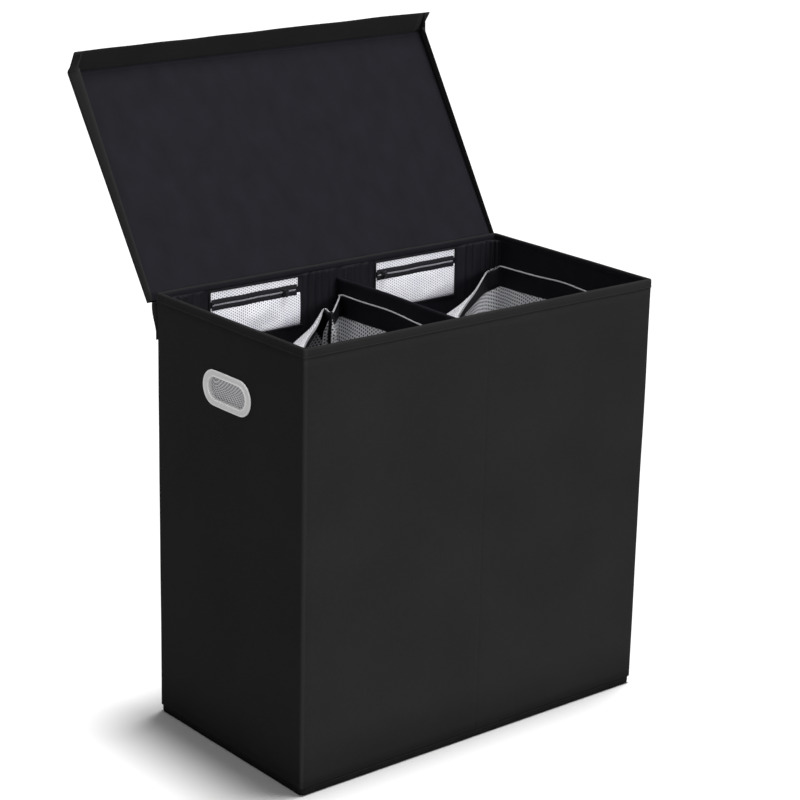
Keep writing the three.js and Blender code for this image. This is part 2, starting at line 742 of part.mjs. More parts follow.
function buildLid() {
  const turning = new THREE.Group();
  turning.position.set(0, hinge.x, hinge.y);
  turning.rotation.x = -lidOpenAngle;
  hamper.add(turning);
  const lid = new THREE.Group();
  lid.position.set(0, -hinge.x, -hinge.y);
  turning.add(lid);

  // The side lips lean inwards, so each layer of the lid ends at the lips where its foot is.
  const lean = Math.tan(lidSideLipLean);
  const depth = [lidFront + seatGap, lidBack];
  const layer = (foot, thickness) => {
    const half = lidHalf - lidLipThickness - lean * (lidTop - foot) - seatGap;
    return block([-half, half], depth, [foot, foot + thickness]);
  };
  add(lid, 'lid_lining', layer(lidUnder, lidLining), liningBlack);
  add(lid, 'lid_board', layer(lidUnder + lidLining + seatGap, lidBoard), greyBoard);
  add(lid, 'lid_cover', layer(lidTop - lidCloth, lidCloth), blackCloth);

  const down = new THREE.Vector2(-Math.sin(lidFrontLipSplay), -Math.cos(lidFrontLipSplay));
  const lipInnerRoot = lidTop - lidLipThickness / Math.sin(lidFrontLipSplay);
  const tip = new THREE.Vector2(lidFront, lidTop).addScaledVector(down, lidFrontLip);
  const innerTip = tip.clone().add(new THREE.Vector2(-down.y, down.x).multiplyScalar(lidLipThickness));
  const frontLip = [
    [lidFront, lidTop],
    [tip.x, tip.y],
    [innerTip.x, innerTip.y],
    [lidFront, lipInnerRoot],
  ];
  add(lid, 'lid_front_lip', side(frontLip, -lidHalf, lidHalf), blackCloth);

  // The side lip stands behind the front lip, and a gusset closes the corner down to the front lip's tip.
  const clear = seatGap / Math.cos(lidFrontLipSplay);
  const sideLip = [
    [lidBack, lidTop],
    [lidFront + seatGap, lidTop],
    [lidFront + clear, lipInnerRoot],
    [innerTip.x + clear, innerTip.y],
    [lidFront + lidGusset, lidTop - lidSideLip],
    [lidBack, lidTop - lidSideLipAtHinge],
  ];
  const leaning = (geometry, slope) => geometry
    .applyMatrix4(new THREE.Matrix4().makeShear(0, 0, 0, 0, -slope, 0))
    .translate(slope * lidTop, 0, 0);
  const leftLip = side(sideLip, -lidHalf, -lidHalf + lidLipThickness);
  const rightLip = side(sideLip, lidHalf - lidLipThickness, lidHalf);
  add(lid, 'lid_left_lip', leaning(leftLip, lean), blackCloth);
  add(lid, 'lid_right_lip', leaning(rightLip, -lean), blackCloth);
}

// The outline of a bent strip of even thickness along a line of points.
function ribbon(points, thickness) {
  const line = points.map(([u, v]) => new THREE.Vector2(u, v));
  const normals = line.map((at, i) => {
    const before = line[Math.max(i - 1, 0)];
    const after = line[Math.min(i + 1, line.length - 1)];
    const run = after.clone().sub(before).normalize();
    return new THREE.Vector2(-run.y, run.x);
  });
  const edge = (half) => line.map((at, i) => at.clone().addScaledVector(normals[i], half).toArray());
  return [...edge(thickness / 2), ...edge(-thickness / 2).reverse()];
}

// The cloth that joins the lid's back edge to the back cover: sewn down at its foot, slack above.
function buildFlap() {
  const foot = halfDepth + seatGap + flapCloth / 2;
  const seamTop = bodyHeight - flapSeamBelowRim;
  const top = opened(lidBack + seatGap + flapCloth / 2, lidUnder + lidThickness / 2);
  const steps = 8;
  const slack = levels(0, 1, steps).map((share) => [
    THREE.MathUtils.lerp(foot, top[0], share) + flapBow * share * Math.sin(Math.PI * share),
    THREE.MathUtils.lerp(seamTop, top[1], share),
  ]);
  const line = [[foot, seamTop - flapSeamHeight], ...slack];
  add(hamper, 'lid_flap', side(ribbon(line, flapCloth), -halfWidth, halfWidth), blackCloth);
}

buildWalls();
buildHandSlots();
buildBase();
buildDivider();
const pocketMiddle = binMiddle - pocketTowardsDivider;
buildPocket('left', -pocketMiddle);
buildPocket('right', pocketMiddle);
buildZipSlider('left', -pocketMiddle + leftSliderTowardsDivider);
buildZipSlider('right', pocketMiddle - rightSliderTowardsDivider);
const bagOuter = halfWidth - wallThickness - bagEndGap;
const bagInner = dividerHalf + bagDividerGap;
buildBag('left', -bagOuter, -bagInner);
buildBag('right', bagInner, bagOuter);
buildLid();
buildFlap();

export default hamper;
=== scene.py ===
# %% [markdown]
# # A laundry hamper with two bins
#
# This file dresses a hamper whose solids and joints are already made. Almost everything one sees of it is cloth:
# covers pulled over stiff board, a loose lining, mesh bags and pockets. So most cells build a sheet of cloth,
# point by point, where its solid says that it is. Lengths are in metres, and `mm` turns millimetres into them.

# %% Load the solids
import json
import math

import bpy
import numpy as np
from mathutils import Matrix, Vector, noise

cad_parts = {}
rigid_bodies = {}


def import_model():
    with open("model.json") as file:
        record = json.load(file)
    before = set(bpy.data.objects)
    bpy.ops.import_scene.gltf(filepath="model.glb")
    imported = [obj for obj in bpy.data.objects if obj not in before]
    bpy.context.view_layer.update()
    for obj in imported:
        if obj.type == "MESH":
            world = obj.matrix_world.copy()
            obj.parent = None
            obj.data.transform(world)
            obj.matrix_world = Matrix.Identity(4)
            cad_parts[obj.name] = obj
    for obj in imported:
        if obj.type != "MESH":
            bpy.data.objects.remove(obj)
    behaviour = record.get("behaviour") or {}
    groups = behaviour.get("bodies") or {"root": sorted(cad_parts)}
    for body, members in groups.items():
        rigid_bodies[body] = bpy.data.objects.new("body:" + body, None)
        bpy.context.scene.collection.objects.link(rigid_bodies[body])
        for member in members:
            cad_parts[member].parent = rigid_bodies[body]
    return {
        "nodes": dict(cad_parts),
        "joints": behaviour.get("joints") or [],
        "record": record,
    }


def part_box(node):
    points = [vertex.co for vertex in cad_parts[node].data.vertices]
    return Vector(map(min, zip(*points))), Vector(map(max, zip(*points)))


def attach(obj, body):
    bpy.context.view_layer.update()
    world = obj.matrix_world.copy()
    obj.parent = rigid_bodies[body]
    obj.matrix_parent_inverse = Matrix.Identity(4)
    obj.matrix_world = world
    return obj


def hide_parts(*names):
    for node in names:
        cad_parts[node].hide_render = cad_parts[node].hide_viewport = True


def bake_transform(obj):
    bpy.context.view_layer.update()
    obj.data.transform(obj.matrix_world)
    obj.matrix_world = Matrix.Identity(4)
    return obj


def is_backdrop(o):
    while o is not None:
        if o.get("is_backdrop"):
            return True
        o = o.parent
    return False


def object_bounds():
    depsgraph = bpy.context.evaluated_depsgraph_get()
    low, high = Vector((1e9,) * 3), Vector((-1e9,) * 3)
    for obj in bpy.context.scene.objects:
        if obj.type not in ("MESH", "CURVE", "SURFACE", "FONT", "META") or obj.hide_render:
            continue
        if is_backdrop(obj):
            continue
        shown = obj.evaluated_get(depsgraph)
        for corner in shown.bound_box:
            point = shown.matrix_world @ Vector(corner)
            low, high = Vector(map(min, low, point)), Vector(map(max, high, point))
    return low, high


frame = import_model()
solid_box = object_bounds()
mm = 0.001

# %% [markdown]
# Three small functions serve every later cell. One puts an object into the scene. One makes a mesh from points and
# faces. One lists the faces of a tube: a collar, a stitch and a tooth of a zip are all tubes.

# %% Objects, meshes and tubes
def add_object(name, data):
    made = bpy.data.objects.new(name, data)
    bpy.context.scene.collection.objects.link(made)
    return made


def new_mesh(points, faces):
    mesh = bpy.data.meshes.new("shape")
    mesh.from_pydata([tuple(point) for point in points], [], faces)
    mesh.shade_smooth()
    return mesh


def tube_faces(rings, size, start=0, closed=False):
    """Faces between rings of points. The last ring joins the first, or else both ends are capped."""
    faces = []
    for ring in range(rings if closed else rings - 1):
        here, there = start + ring * size, start + (ring + 1) % rings * size
        faces += [[here + j, here + (j + 1) % size, there + (j + 1) % size, there + j] for j in range(size)]
    if not closed:
        last = start + (rings - 1) * size
        faces += [[start + j for j in reversed(range(size))], [last + j for j in range(size)]]
    return faces


# %% [markdown]
# ## The camera
#
# The camera stands where the photograph's stood. It is given as an orbit round the middle of the body: a turn, a
# rise and a roll, then a distance and a small slide across the view. A long lens keeps the uprights nearly
# parallel. Slides are used and not lens shift, because the other views then keep the same framing.

# %% Place the camera
look_at = Vector((0, 0, 324 * mm))
turn, rise, roll = (math.radians(angle) for angle in (-39.68, 17.68, 1.31))
back = Vector((math.sin(turn) * math.cos(rise), -math.cos(turn) * math.cos(rise), math.sin(rise)))
level = Vector((math.cos(turn), math.sin(turn), 0))
upright = back.cross(level)
right = math.cos(roll) * level + math.sin(roll) * upright
up = math.cos(roll) * upright - math.sin(roll) * level
distance, slide_right, slide_up = 3.447, 6.4 * mm, -143.4 * mm

camera = add_object("camera", bpy.data.cameras.new("camera"))
place = look_at + distance * back - slide_right * right - slide_up * up
camera.matrix_world = Matrix.Translation(place) @ Matrix((right, up, back)).transposed().to_4x4()
camera.data.lens = 104.5
camera.data.sensor_width = 36
camera.data.clip_end = 50
bpy.context.scene.camera = camera
print("camera at", [round(c, 3) for c in place])

# %% [markdown]
# ## Writing finishes as sums
#
# A finish is a tree of nodes, and most of its nodes only do sums. Wiring those by hand hides the idea, so one
# small class wraps a socket and gives it the usual signs: `0.5 + 0.3 * ribs` then adds its own Math nodes. Every
# other node comes from one method that takes its type, its settings and what goes into its sockets.

# %% Values that add their own nodes
class Reading:
    """One number of a finish, at each point of the surface."""

    def __init__(self, finish, socket):
        self.finish = finish
        self.socket = socket

    def using(self, operation, *values):
        return self.finish.node("ShaderNodeMath", {"operation": operation}, dict(enumerate(values)))

    def __add__(self, other):
        return self.using("ADD", self, other)

    def __sub__(self, other):
        return self.using("SUBTRACT", self, other)

    def __rsub__(self, other):
        return self.using("SUBTRACT", other, self)

    def __mul__(self, other):
        return self.using("MULTIPLY", self, other)

    def __abs__(self):
        return self.using("ABSOLUTE", self)

    __radd__ = __add__
    __rmul__ = __mul__

    def wave(self, pitch):
        """A cosine that repeats every pitch."""
        return self.using("COSINE", self * (2 * math.pi / pitch))

    def above(self, edge, softness):
        """0 below the edge and 1 above it, with a soft step between."""
        return self.finish.node(
            "ShaderNodeMapRange",
            {"interpolation_type": "SMOOTHSTEP"},
            {0: self, 1: edge - softness, 2: edge + softness, 3: 0.0, 4: 1.0},
        )


# %% [markdown]
# A finish starts from one Principled shader. What is the same all over is set on the shader itself. What changes
# over the surface is fed in: its colour, its roughness and a bump. Cloth reads a map that every sheet here gets,
# which holds the distance along the weave in metres, so that threads follow the folds. Hard pieces read their place.

# %% The node tree of a finish
def colour(code):
    """A colour as it looks on a screen, such as 2a2a2d, as the light that it sends back."""
    parts = [int(code[i:i + 2], 16) / 255 for i in (0, 2, 4)]
    return [p / 12.92 if p <= 0.04045 else ((p + 0.055) / 1.055) ** 2.4 for p in parts] + [1]


materials = {}  # every finish, by its name


class Finish:
    def __init__(self, name, roughness, specular, metallic=0.0, sheen=0.0):
        self.material = materials[name] = bpy.data.materials.new(name)
        self.material.use_nodes = True
        self.nodes = self.material.node_tree.nodes
        self.links = self.material.node_tree.links
        self.shader = self.nodes["Principled BSDF"]
        fixed = {
            "Roughness": roughness,
            "Specular IOR Level": specular,
            "Metallic": metallic,
            "Sheen Weight": sheen,
            "Sheen Roughness": 0.4,
        }
        for socket, value in fixed.items():
            self.shader.inputs[socket].default_value = value

    def feed(self, socket, value):
        if isinstance(value, Reading):
            self.links.new(value.socket, socket)
        else:
            socket.default_value = value

    def node(self, kind, settings, inputs, output=0):
        made = self.nodes.new(kind)
        for setting, value in settings.items():
            setattr(made, setting, value)
        for socket, value in inputs.items():
            self.feed(made.inputs[socket], value)
        return Reading(self, made.outputs[output])

    def axes(self, where, count):
        return [self.node("ShaderNodeSeparateXYZ", {}, {0: where}, axis) for axis in range(count)]

    def along_cloth(self):
        """The distances across and up the weave, in metres."""
        return self.axes(self.node("ShaderNodeUVMap", {"uv_map": "weave"}, {}), 2)

    def in_space(self):
        """The distances to the right, to the back and up, in metres."""
        return self.axes(self.node("ShaderNodeTexCoord", {}, {}, "Object"), 3)

    def cloud(self, scale, detail=2.0, stretch=(1, 1, 1)):
        """Soft noise in the object's own space, from about 0 to 1, with scale in patches to the metre."""
        where = self.node("ShaderNodeTexCoord", {}, {}, "Object")
        stretched = self.node("ShaderNodeVectorMath", {"operation": "MULTIPLY"}, {0: where, 1: stretch})
        return self.node("ShaderNodeTexNoise", {}, {"Vector": stretched, "Scale": scale, "Detail": detail})

    def tint(self, amount, low, high):
        """The low colour where the amount is 0 and the high one where it is 1. Each is a code or a Reading."""
        low, high = (colour(tone) if isinstance(tone, str) else tone for tone in (low, high))
        return self.node("ShaderNodeMix", {"data_type": "RGBA"}, {0: amount, 6: low, 7: high}, 2)

    def paint(self, amount, low, high, height=None, depth=0.0, roughness=None):
        """Tints the surface from low to high, and raises it by up to the depth where the height is 1."""
        self.feed(self.shader.inputs["Base Color"], self.tint(amount, low, high))
        if roughness is not None:
            self.feed(self.shader.inputs["Roughness"], roughness)
        if height is not None:
            bump = self.node("ShaderNodeBump", {}, {"Height": height, "Distance": depth, "Strength": 0.8}, "Normal")
            self.feed(self.shader.inputs["Normal"], bump)
        print(f"{self.material.name}: {len(self.nodes)} nodes")


# %% [markdown]
# ## The black cloths
#
# The cover is a close plain weave: each thread goes over one and under the next, which makes a fine chequer of
# raised squares. Two crossed waves multiplied give that. Black cloth is never one black, so a slow cloud lightens it
# in places as if handled, and a finer one adds lint. Its upright edges are painted paler, a painted highlight where
# the corners catch the light, and it is darker near the floor. The lining is a thin pressed cloth, darker, bluer and
# crumpled. Inside the lid the same cloth is stretched over the board, so it lies smooth there, and its colour there
# is painted lighter: painted light, as the lid faces the lamps.

# %% Cover, lining and tape cloth
def plain_weave(finish, thread):
    across, along = finish.along_cloth()
    return across.wave(2 * thread) * along.wave(2 * thread)


cover_thread, lining_thread = 0.75 * mm, 1.1 * mm
edge_x, edge_y, edge_softness = 316.5 * mm, 171.5 * mm, 2.5 * mm  # where the upright edges get a painted highlight
foot_height, foot_softness = 48 * mm, 46 * mm  # below it the cover is darker
cover = Finish("cover_cloth", 0.85, 0.06, sheen=0.02)
weave = plain_weave(cover, cover_thread)
handled, lint = cover.cloud(7, 3.0), cover.cloud(260)
x, y, z = cover.in_space()
near_foot = 1 - z.above(foot_height, foot_softness)
# Painted highlight: the cover is painted paler along its four upright corners, where they catch the light.
painted_edge_highlight = abs(x).above(edge_x, edge_softness) * abs(y).above(edge_y, edge_softness)
lightness = 0.55 * handled + 0.12 * weave + 0.35 * lint + 0.9 * painted_edge_highlight - 0.45 * near_foot
cover.paint(lightness, "1d1d1d", "2c2c2c", weave * 0.5 + lint, 0.25 * mm)


def pressed_cloth(name, roughness, specular, dark, light, crumpling):
    finish = Finish(name, roughness, specular)
    pressed = plain_weave(finish, lining_thread)
    crumple = finish.cloud(38, 4.0, stretch=(1, 1, 0.35))
    finish.paint(0.8 * crumple + 0.1 * pressed, dark, light, pressed * 0.12 + crumple, crumpling)


pressed_cloth("lining_cloth", 0.6, 0.14, "0c0b10", "1a1920", 0.9 * mm)
# The lid's copy of the lining cloth has lighter colours: painted light, as the lid faces the lamps.
pressed_cloth("lid_lining_painted_light", 0.75, 0.1, "121116", "1e1d24", 0.2 * mm)

base_hem = Finish("base_hem_cloth", 0.85, 0.06)
trodden = base_hem.cloud(90, 3.0)
hem_weave = plain_weave(base_hem, cover_thread)
base_hem.paint(0.8 * trodden + 0.1 * hem_weave, "0e0e0e", "202020", hem_weave, 0.2 * mm)

zip_cloth = Finish("zip_tape", 0.75, 0.2)
rib = zip_cloth.along_cloth()[1].wave(0.9 * mm)
zip_cloth.paint(0.5 + 0.3 * rib, "121216", "232329", rib, 0.2 * mm)

# %% [markdown]
# ## The meshes
#
# The bags and pockets are knitted mesh: threads round small open cells in a honeycomb. Three waves, each turned a
# third of a half turn from the last, add up to a honeycomb of peaks, and the peaks are the cells. Behind a cell it
# is dark, so a cell is drawn as a darker, lower spot. Cutting real holes would cost much and show only from near.

# %% Pocket mesh, bag mesh, slot mesh and hem tape
def knitted(name, cell, thread_tones, cell_tone, depth):
    finish = Finish(name, 0.7, 0.25)
    across, along = finish.along_cloth()
    half_across, slanted = 0.5 * across, (math.sqrt(3) / 2) * along
    peaks = across.wave(cell) + (half_across + slanted).wave(cell) + (half_across - slanted).wave(cell)
    holes = peaks.above(0.8, 0.5)
    # The threads' tone wanders in soft clouds: partly the mesh's own uneven tone, partly painted shade of its
    # crumples.
    threads = finish.tint(finish.cloud(45, 3.0), *thread_tones)
    finish.paint(holes, threads, cell_tone, 1 - holes, depth)


knitted("pocket_mesh", 3.6 * mm, ("dcdce6", "ffffff"), "9a9aaa", 0.4 * mm)
knitted("bag_mesh", 4.8 * mm, ("dcdce0", "f8f8fc"), "222228", 0.5 * mm)
knitted("slot_mesh", 3.4 * mm, ("cacace", "ececf0"), "222228", 0.2 * mm)

hem_tape = Finish("hem_tape", 0.7, 0.2)
across, along = hem_tape.along_cloth()
twill = (across + along).wave(1.2 * mm)
hem_tape.paint(0.5 + 0.4 * twill, "a8a8ac", "d6d6da", twill, 0.2 * mm)

# %% [markdown]
# ## The hard finishes
#
# The hand slot's collar is moulded in a light grey plastic, with a fine spark-eroded grain that breaks its shine,
# and its two raised edges are painted paler: a painted highlight where its bead and rim catch the light. The zip's
# slider is enamelled metal, worn on its raised places, and its teeth are pale plastic. The board inside the walls is
# grey pulp board: it is seen only by someone who opens a seam, but it gets its fibres all the same.

# %% Plastic, teeth, metal, board and thread
plastic = Finish("slot_plastic", 0.42, 0.45)
grain = plastic.cloud(900, 2.0)
raised_edges = 322.4 * mm
# Painted highlight: the collar's bead and rolled edge, which stand furthest off the wall, are painted paler.
painted_collar_highlight = abs(plastic.in_space()[0]).above(raised_edges, 0.6 * mm)
paleness = 0.12 * plastic.cloud(30) + 0.9 * painted_collar_highlight
plastic.paint(paleness, "eeeeee", "ffffff", grain, 0.08 * mm, 0.36 + 0.16 * grain)

enamel = Finish("zip_metal", 0.35, 0.5, metallic=0.7)
worn = enamel.cloud(420, 3.0).above(0.62, 0.08)
enamel.paint(worn, "2c2c30", "77777c", worn, 0.02 * mm, 0.32 + 0.2 * worn)


def mottled(name, roughness, specular, patches, dark, light, depth, detail=2.0, stretch=(1, 1, 1)):
    finish = Finish(name, roughness, specular)
    mottle = finish.cloud(patches, detail, stretch)
    finish.paint(mottle, dark, light, mottle, depth)


mottled("zip_teeth", 0.45, 0.4, 700, "8c8c94", "c8c8ce", 0.05 * mm)
mottled("stiffener_board", 0.95, 0.1, 300, "77736a", "a5a095", 0.2 * mm, 4.0, (1, 1, 0.2))
mottled("sewing_thread", 0.6, 0.25, 1500, "1c1c20", "3a3a40", 0.1 * mm)

# %% [markdown]
# ## Sheets of cloth
#
# A sheet is a grid of points: its columns run to the right and its rows run up, as seen from the side that shows.
# A back layer is laid behind it, one thickness in, and a rounded edge joins the two. That makes a closed body with
# real thickness, which a plain surface with no back doesn't have. A sheet can also run round and meet itself.

# %% Build a sheet with thickness
def facing(front, loop):
    """The direction that each point of a grid faces."""
    wide = np.concatenate([front[:, -1:], front, front[:, :1]], 1) if loop else front
    rightwards = np.gradient(wide, axis=1)
    upwards = np.gradient(wide, axis=0)
    normals = np.cross(rightwards, upwards)
    normals = normals[:, 1:-1] if loop else normals
    return normals / np.maximum(np.linalg.norm(normals, axis=2, keepdims=True), 1e-12)


def lengths_along(grid, axis):
    """How far along the cloth each point lies, in metres."""
    steps = np.linalg.norm(np.diff(grid, axis=axis), axis=2)
    start = np.zeros_like(steps.take([0], axis))
    return np.concatenate([start, np.cumsum(steps, axis)], axis)


def rim_of(rows, columns, loop):
    """The (row, column) corners along each edge of the sheet, the sheet on their left."""
    if loop:
        return [[(0, j) for j in range(columns + 1)], [(rows - 1, j) for j in range(columns, -1, -1)]]
    there = [(0, j) for j in range(columns - 1)] + [(i, columns - 1) for i in range(rows - 1)]
    return [there + [(rows - 1 - i, columns - 1 - j) for i, j in there] + [(0, 0)]]


edge_swell = 0.4  # how far the rounded edge of a sheet stands out, as a share of its thickness


def sheet_mesh(front, thickness, loop=False):
    front = np.asarray(front, float)
    rows, columns = front.shape[:2]
    behind = front - facing(front, loop) * np.broadcast_to(thickness, (rows, columns))[..., None]
    closed = np.concatenate([front, front[:, :1]], 1) if loop else front
    across, along = lengths_along(closed, 1), lengths_along(closed, 0)
    points = [*front.reshape(-1, 3), *behind.reshape(-1, 3)]
    count = rows * columns
    faces, places = [], []

    def number(corner):
        return corner[0] * columns + corner[1] % columns

    def place(corner):
        return across[corner], along[corner]

    for row in range(rows - 1):
        for column in range(columns if loop else columns - 1):
            ring = [(row, column), (row, column + 1), (row + 1, column + 1), (row + 1, column)]
            for layer, corners in ((0, ring), (count, ring[::-1])):
                faces.append([layer + number(corner) for corner in corners])
                places.append([place(corner) for corner in corners])
    for edge in rim_of(rows, columns, loop):
        start, total = len(points), len(edge) - 1
        for row, column in edge[:-1]:
            own = row, column % columns
            inner = min(max(row, 1), rows - 2), own[1] if loop else min(max(column, 1), columns - 2)
            out = front[own] - front[inner]
            out = out / max(np.linalg.norm(out), 1e-9)
            apart = np.linalg.norm(front[own] - behind[own])
            points.append((front[own] + behind[own]) / 2 + out * edge_swell * apart)
        for k, (near, far) in enumerate(zip(edge[:-1], edge[1:])):
            here, there = start + k, start + (k + 1) % total
            faces.append([number(far), number(near), here, there])
            faces.append([there, here, count + number(near), count + number(far)])
            places += [[place(far), place(near), place(near), place(far)]] * 2
    mesh = new_mesh(points, faces)
    weave_map = mesh.uv_layers.new(name="weave")
    weave_map.uv.foreach_set("vector", np.array([spot for face in places for spot in face]).ravel())
    return mesh


# %% [markdown]
# A piece is its mesh, the finish on it, the body that it moves with, and the solids that it stands for. Cloth pulled
# over board is nearly flat, yet its light moves: it swells by fractions of a millimetre. A smooth noise gives that.

# %% Turn a mesh into a piece of the hamper
def piece(name, mesh, slot, body, stands_for=(), finish=None):
    made = add_object(name, mesh)
    mesh.name = name
    mesh.materials.append(materials[finish or slot])
    if body:
        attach(made, body)
    if stands_for:
        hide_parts(*stands_for)
    print(f"{name}: {len(mesh.polygons)} faces on {body}")
    return made


def cut_cloth(made):
    """Reads a piece's weave map, which holds its size laid flat. Nothing further is done with what it reads."""
    places = np.zeros(2 * len(made.data.loops))
    made.data.uv_layers["weave"].uv.foreach_get("vector", places)


def cloth(name, grid, thickness, slot, body, stands_for=(), finish=None, loop=False, held=None, rests_on=()):
    """A sheet as a piece. For one that is held, cut_cloth reads its weave map. rests_on is not used."""
    made = piece(name, sheet_mesh(grid, thickness, loop), slot, body, stands_for, finish)
    if held:
        cut_cloth(made)
    return made


def swell(points, size, seed):
    """Smooth noise from about -1 to 1 at each point, with patches of that size."""
    shift = Vector((seed * 7.3, seed * 3.1, seed * 5.7))
    flat = np.asarray(points).reshape(-1, 3)
    values = [noise.noise(Vector(point) / size + shift) for point in flat]
    return np.array(values).reshape(np.asarray(points).shape[:-1]) * 1.6


def hump(value, middle, width):
    """1 at the middle, falling smoothly to nothing about two widths away."""
    return np.exp(-((np.asarray(value) - middle) / width) ** 2)


def steps_between(low, high, step):
    return np.linspace(low, high, max(2, round((high - low) / step) + 1))


def reach_along(line):
    """How far along a line each of its points lies."""
    return np.concatenate([[0], np.cumsum(np.linalg.norm(np.diff(line, axis=0), axis=1))])


def at_reach(values, reach, at):
    """What a line's own values are at a distance along it, or at several."""
    return np.stack([np.interp(at, reach, values[:, axis]) for axis in range(3)], axis=-1)


def plate(xs, ys, height):
    """A level grid of points."""
    return np.stack(np.broadcast_arrays(xs[None], ys[:, None], height), axis=2)


# %% [markdown]
# ## The path round the body
#
# Covers, lining, rim and hem all run round the same box, at different depths. So one path serves them all: it goes
# once round, starting at the front's left end, and it says at each point which way is out.

# %% Walk round the body
body_low, body_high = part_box("front_cover")[0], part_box("back_cover")[1]
half_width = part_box("right_cover")[1].x
half_depth = body_high.y
body_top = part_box("front_rim_binding")[1].z
cover_foot = body_low.z
corner_radius = 5.5 * mm
square_on = 0.99  # a direction this close to square to a wall belongs to the wall and not to a corner


def wall_steps(reach, step, extra=()):
    return np.unique(np.round([*steps_between(-reach, reach, step), *extra], 6))


def around(inset, radius, step=12 * mm, extra=(), turn_steps=4):
    """(points, outward directions) in plan, once round, seen turning left from above."""
    reach = np.array([half_width - inset - radius, half_depth - inset - radius])
    points, outwards = [], []
    for side in range(4):
        angle = (side - 1) * math.pi / 2
        out = np.array([math.cos(angle), math.sin(angle)])
        forward = np.array([-out[1], out[0]])
        middle = out * (reach[side % 2 ^ 1] + radius)
        near_corners = [sign * (reach[side % 2] - 1.5 * mm) for sign in (-1, 1)]
        for place in wall_steps(reach[side % 2], step, (*near_corners, *(() if side % 2 else extra))):
            points.append(middle + forward * place)
            outwards.append(out)
        corner = out * reach[side % 2 ^ 1] + forward * reach[side % 2]
        for number in range(1, turn_steps + 1):
            turned = angle + number / (turn_steps + 1) * math.pi / 2
            direction = np.array([math.cos(turned), math.sin(turned)])
            points.append(corner + direction * radius)
            outwards.append(direction)
    return np.array(points), np.array(outwards)


def wrap(points, outwards, profile):
    """A grid whose rows follow the path, each at its own depth and height."""
    return np.array([
        [(*(point - out * depth), height) for point, out in zip(points, outwards)]
        for depth, height in profile
    ])


def push_out(grid, outwards, amount):
    """Moves a grid away from the middle of the body, by millimetres."""
    grid[..., :2] += (amount * mm)[..., None] * outwards


crease_steps = np.array([-7, -3.5, -1.6, 0, 1.6, 3.5, 7]) * mm
print(f"body {2 * half_width:.3f} by {2 * half_depth:.3f} by {body_top:.3f} m")

# %% [markdown]
# ## The covers
#
# Four panels of cloth are sewn into one sleeve and pulled over the boards, so the sleeve is one sheet here and its
# corners stay whole. On the long walls the cloth dips between the two boards, where the wall folds, and the dip
# has a low ridge on each side. The corner seams stand up a little. Each end wall is pierced for its hand slot.

# %% Sleeve over the boards
slot_height = (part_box("left_slot_collar")[0].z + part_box("left_slot_collar")[1].z) / 2


def stadium(length, height, steps=14):
    """A slot's outline with round ends, as (along, up) pairs, turning left."""
    radius = height / 2
    return [
        (end * (length / 2 - radius) + radius * math.cos(start + i / steps * math.pi),
         radius * math.sin(start + i / steps * math.pi))
        for end, start in ((1, -math.pi / 2), (-1, math.pi / 2))
        for i in range(steps + 1)
    ]


def pierce(made, length=91 * mm, height=36 * mm, reach=30 * mm):
    """Cuts the hand slots out of a sleeve, with a block that reaches out and in from each end wall."""
    outline = stadium(length, height)
    for sign in (-1, 1):
        ends = [(sign * (half_width + shift), along, slot_height + rising)
                for shift in (-reach, reach) for along, rising in outline]
        faces = tube_faces(2, len(outline))
        mesh = new_mesh(ends, faces if sign > 0 else [face[::-1] for face in faces])
        mesh.shade_flat()
        cutter = add_object("slot_cutter", mesh)
        cut = made.modifiers.new("hand_slot", "BOOLEAN")
        cut.operation = "DIFFERENCE"
        cut.solver = "EXACT"
        cut.object = cutter
        bpy.context.view_layer.update()
        cut_mesh = bpy.data.meshes.new_from_object(made.evaluated_get(bpy.context.evaluated_depsgraph_get()))
        made.modifiers.clear()
        made.data = cut_mesh
        bpy.data.objects.remove(cutter)
    print(f"{made.name} pierced: {len(made.data.polygons)} faces")


points, outwards = around(0, corner_radius, extra=crease_steps)
on_end, on_long = (np.abs(outwards[:, axis]) > square_on for axis in (0, 1))
cover_top = body_top - 12 * mm
sleeve = wrap(points, outwards, [(0, z) for z in steps_between(cover_foot, cover_top, 14 * mm)])
along_wall = np.where(on_long, points[:, 0], 1)
ridges = sum(hump(along_wall, place * mm, 2 * mm) for place in (-4.5, 4.5))
crease = 0.25 * ridges - 0.6 * hump(along_wall, 0, 1.6 * mm)
seam_place = half_width - corner_radius - 1.5 * mm
seam = 0.35 * hump(np.abs(along_wall), seam_place, 1 * mm)
rise_share = (sleeve[..., 2] - cover_foot) / (cover_top - cover_foot)
soft = 0.45 * swell(sleeve, 0.11, 1) * np.sin(np.pi * rise_share.clip(0, 1)) ** 0.5
stiffness_of_ends = 0.6
push_out(sleeve, outwards, crease + seam + np.where(on_end, stiffness_of_ends, 1) * soft)
outer_cover = cloth("outer_cover", sleeve, 1.0 * mm, "cover_cloth", "hamper_body",
                    ["front_cover", "back_cover", "left_cover", "right_cover"], loop=True, held="stretched",
                    rests_on=["front_left_board", "front_right_board", "left_board", "right_board"])
pierce(outer_cover)

# %% [markdown]
# ## The bound rim
#
# A strip of the cover cloth is folded over the top of the walls and sewn through. It lies on the cover, so it stands
# a little proud of it, and its fold is round. Its top isn't ruler straight: it rises and dips by half a millimetre.
# On the inside it is faced with the darker lining cloth, a painted shade: it makes the rim look darker from within.

# %% Rim binding
rim_outside = [(-0.5, -13.6), (-0.8, -12.5), (-0.7, -8), (-0.6, -3), (-0.3, -1.2), (0.6, -0.3), (1.8, 0), (3.8, 0),
               (4.8, -0.2), (5.2, -0.8)]
rim_inside = [(4.9, -0.5), (5.8, -1.4), (6.1, -3), (6.1, -7), (5.9, -9.6)]
rim_nodes = ["front_rim_binding", "back_rim_binding", "left_rim_binding", "right_rim_binding"]
points, outwards = around(0, corner_radius)
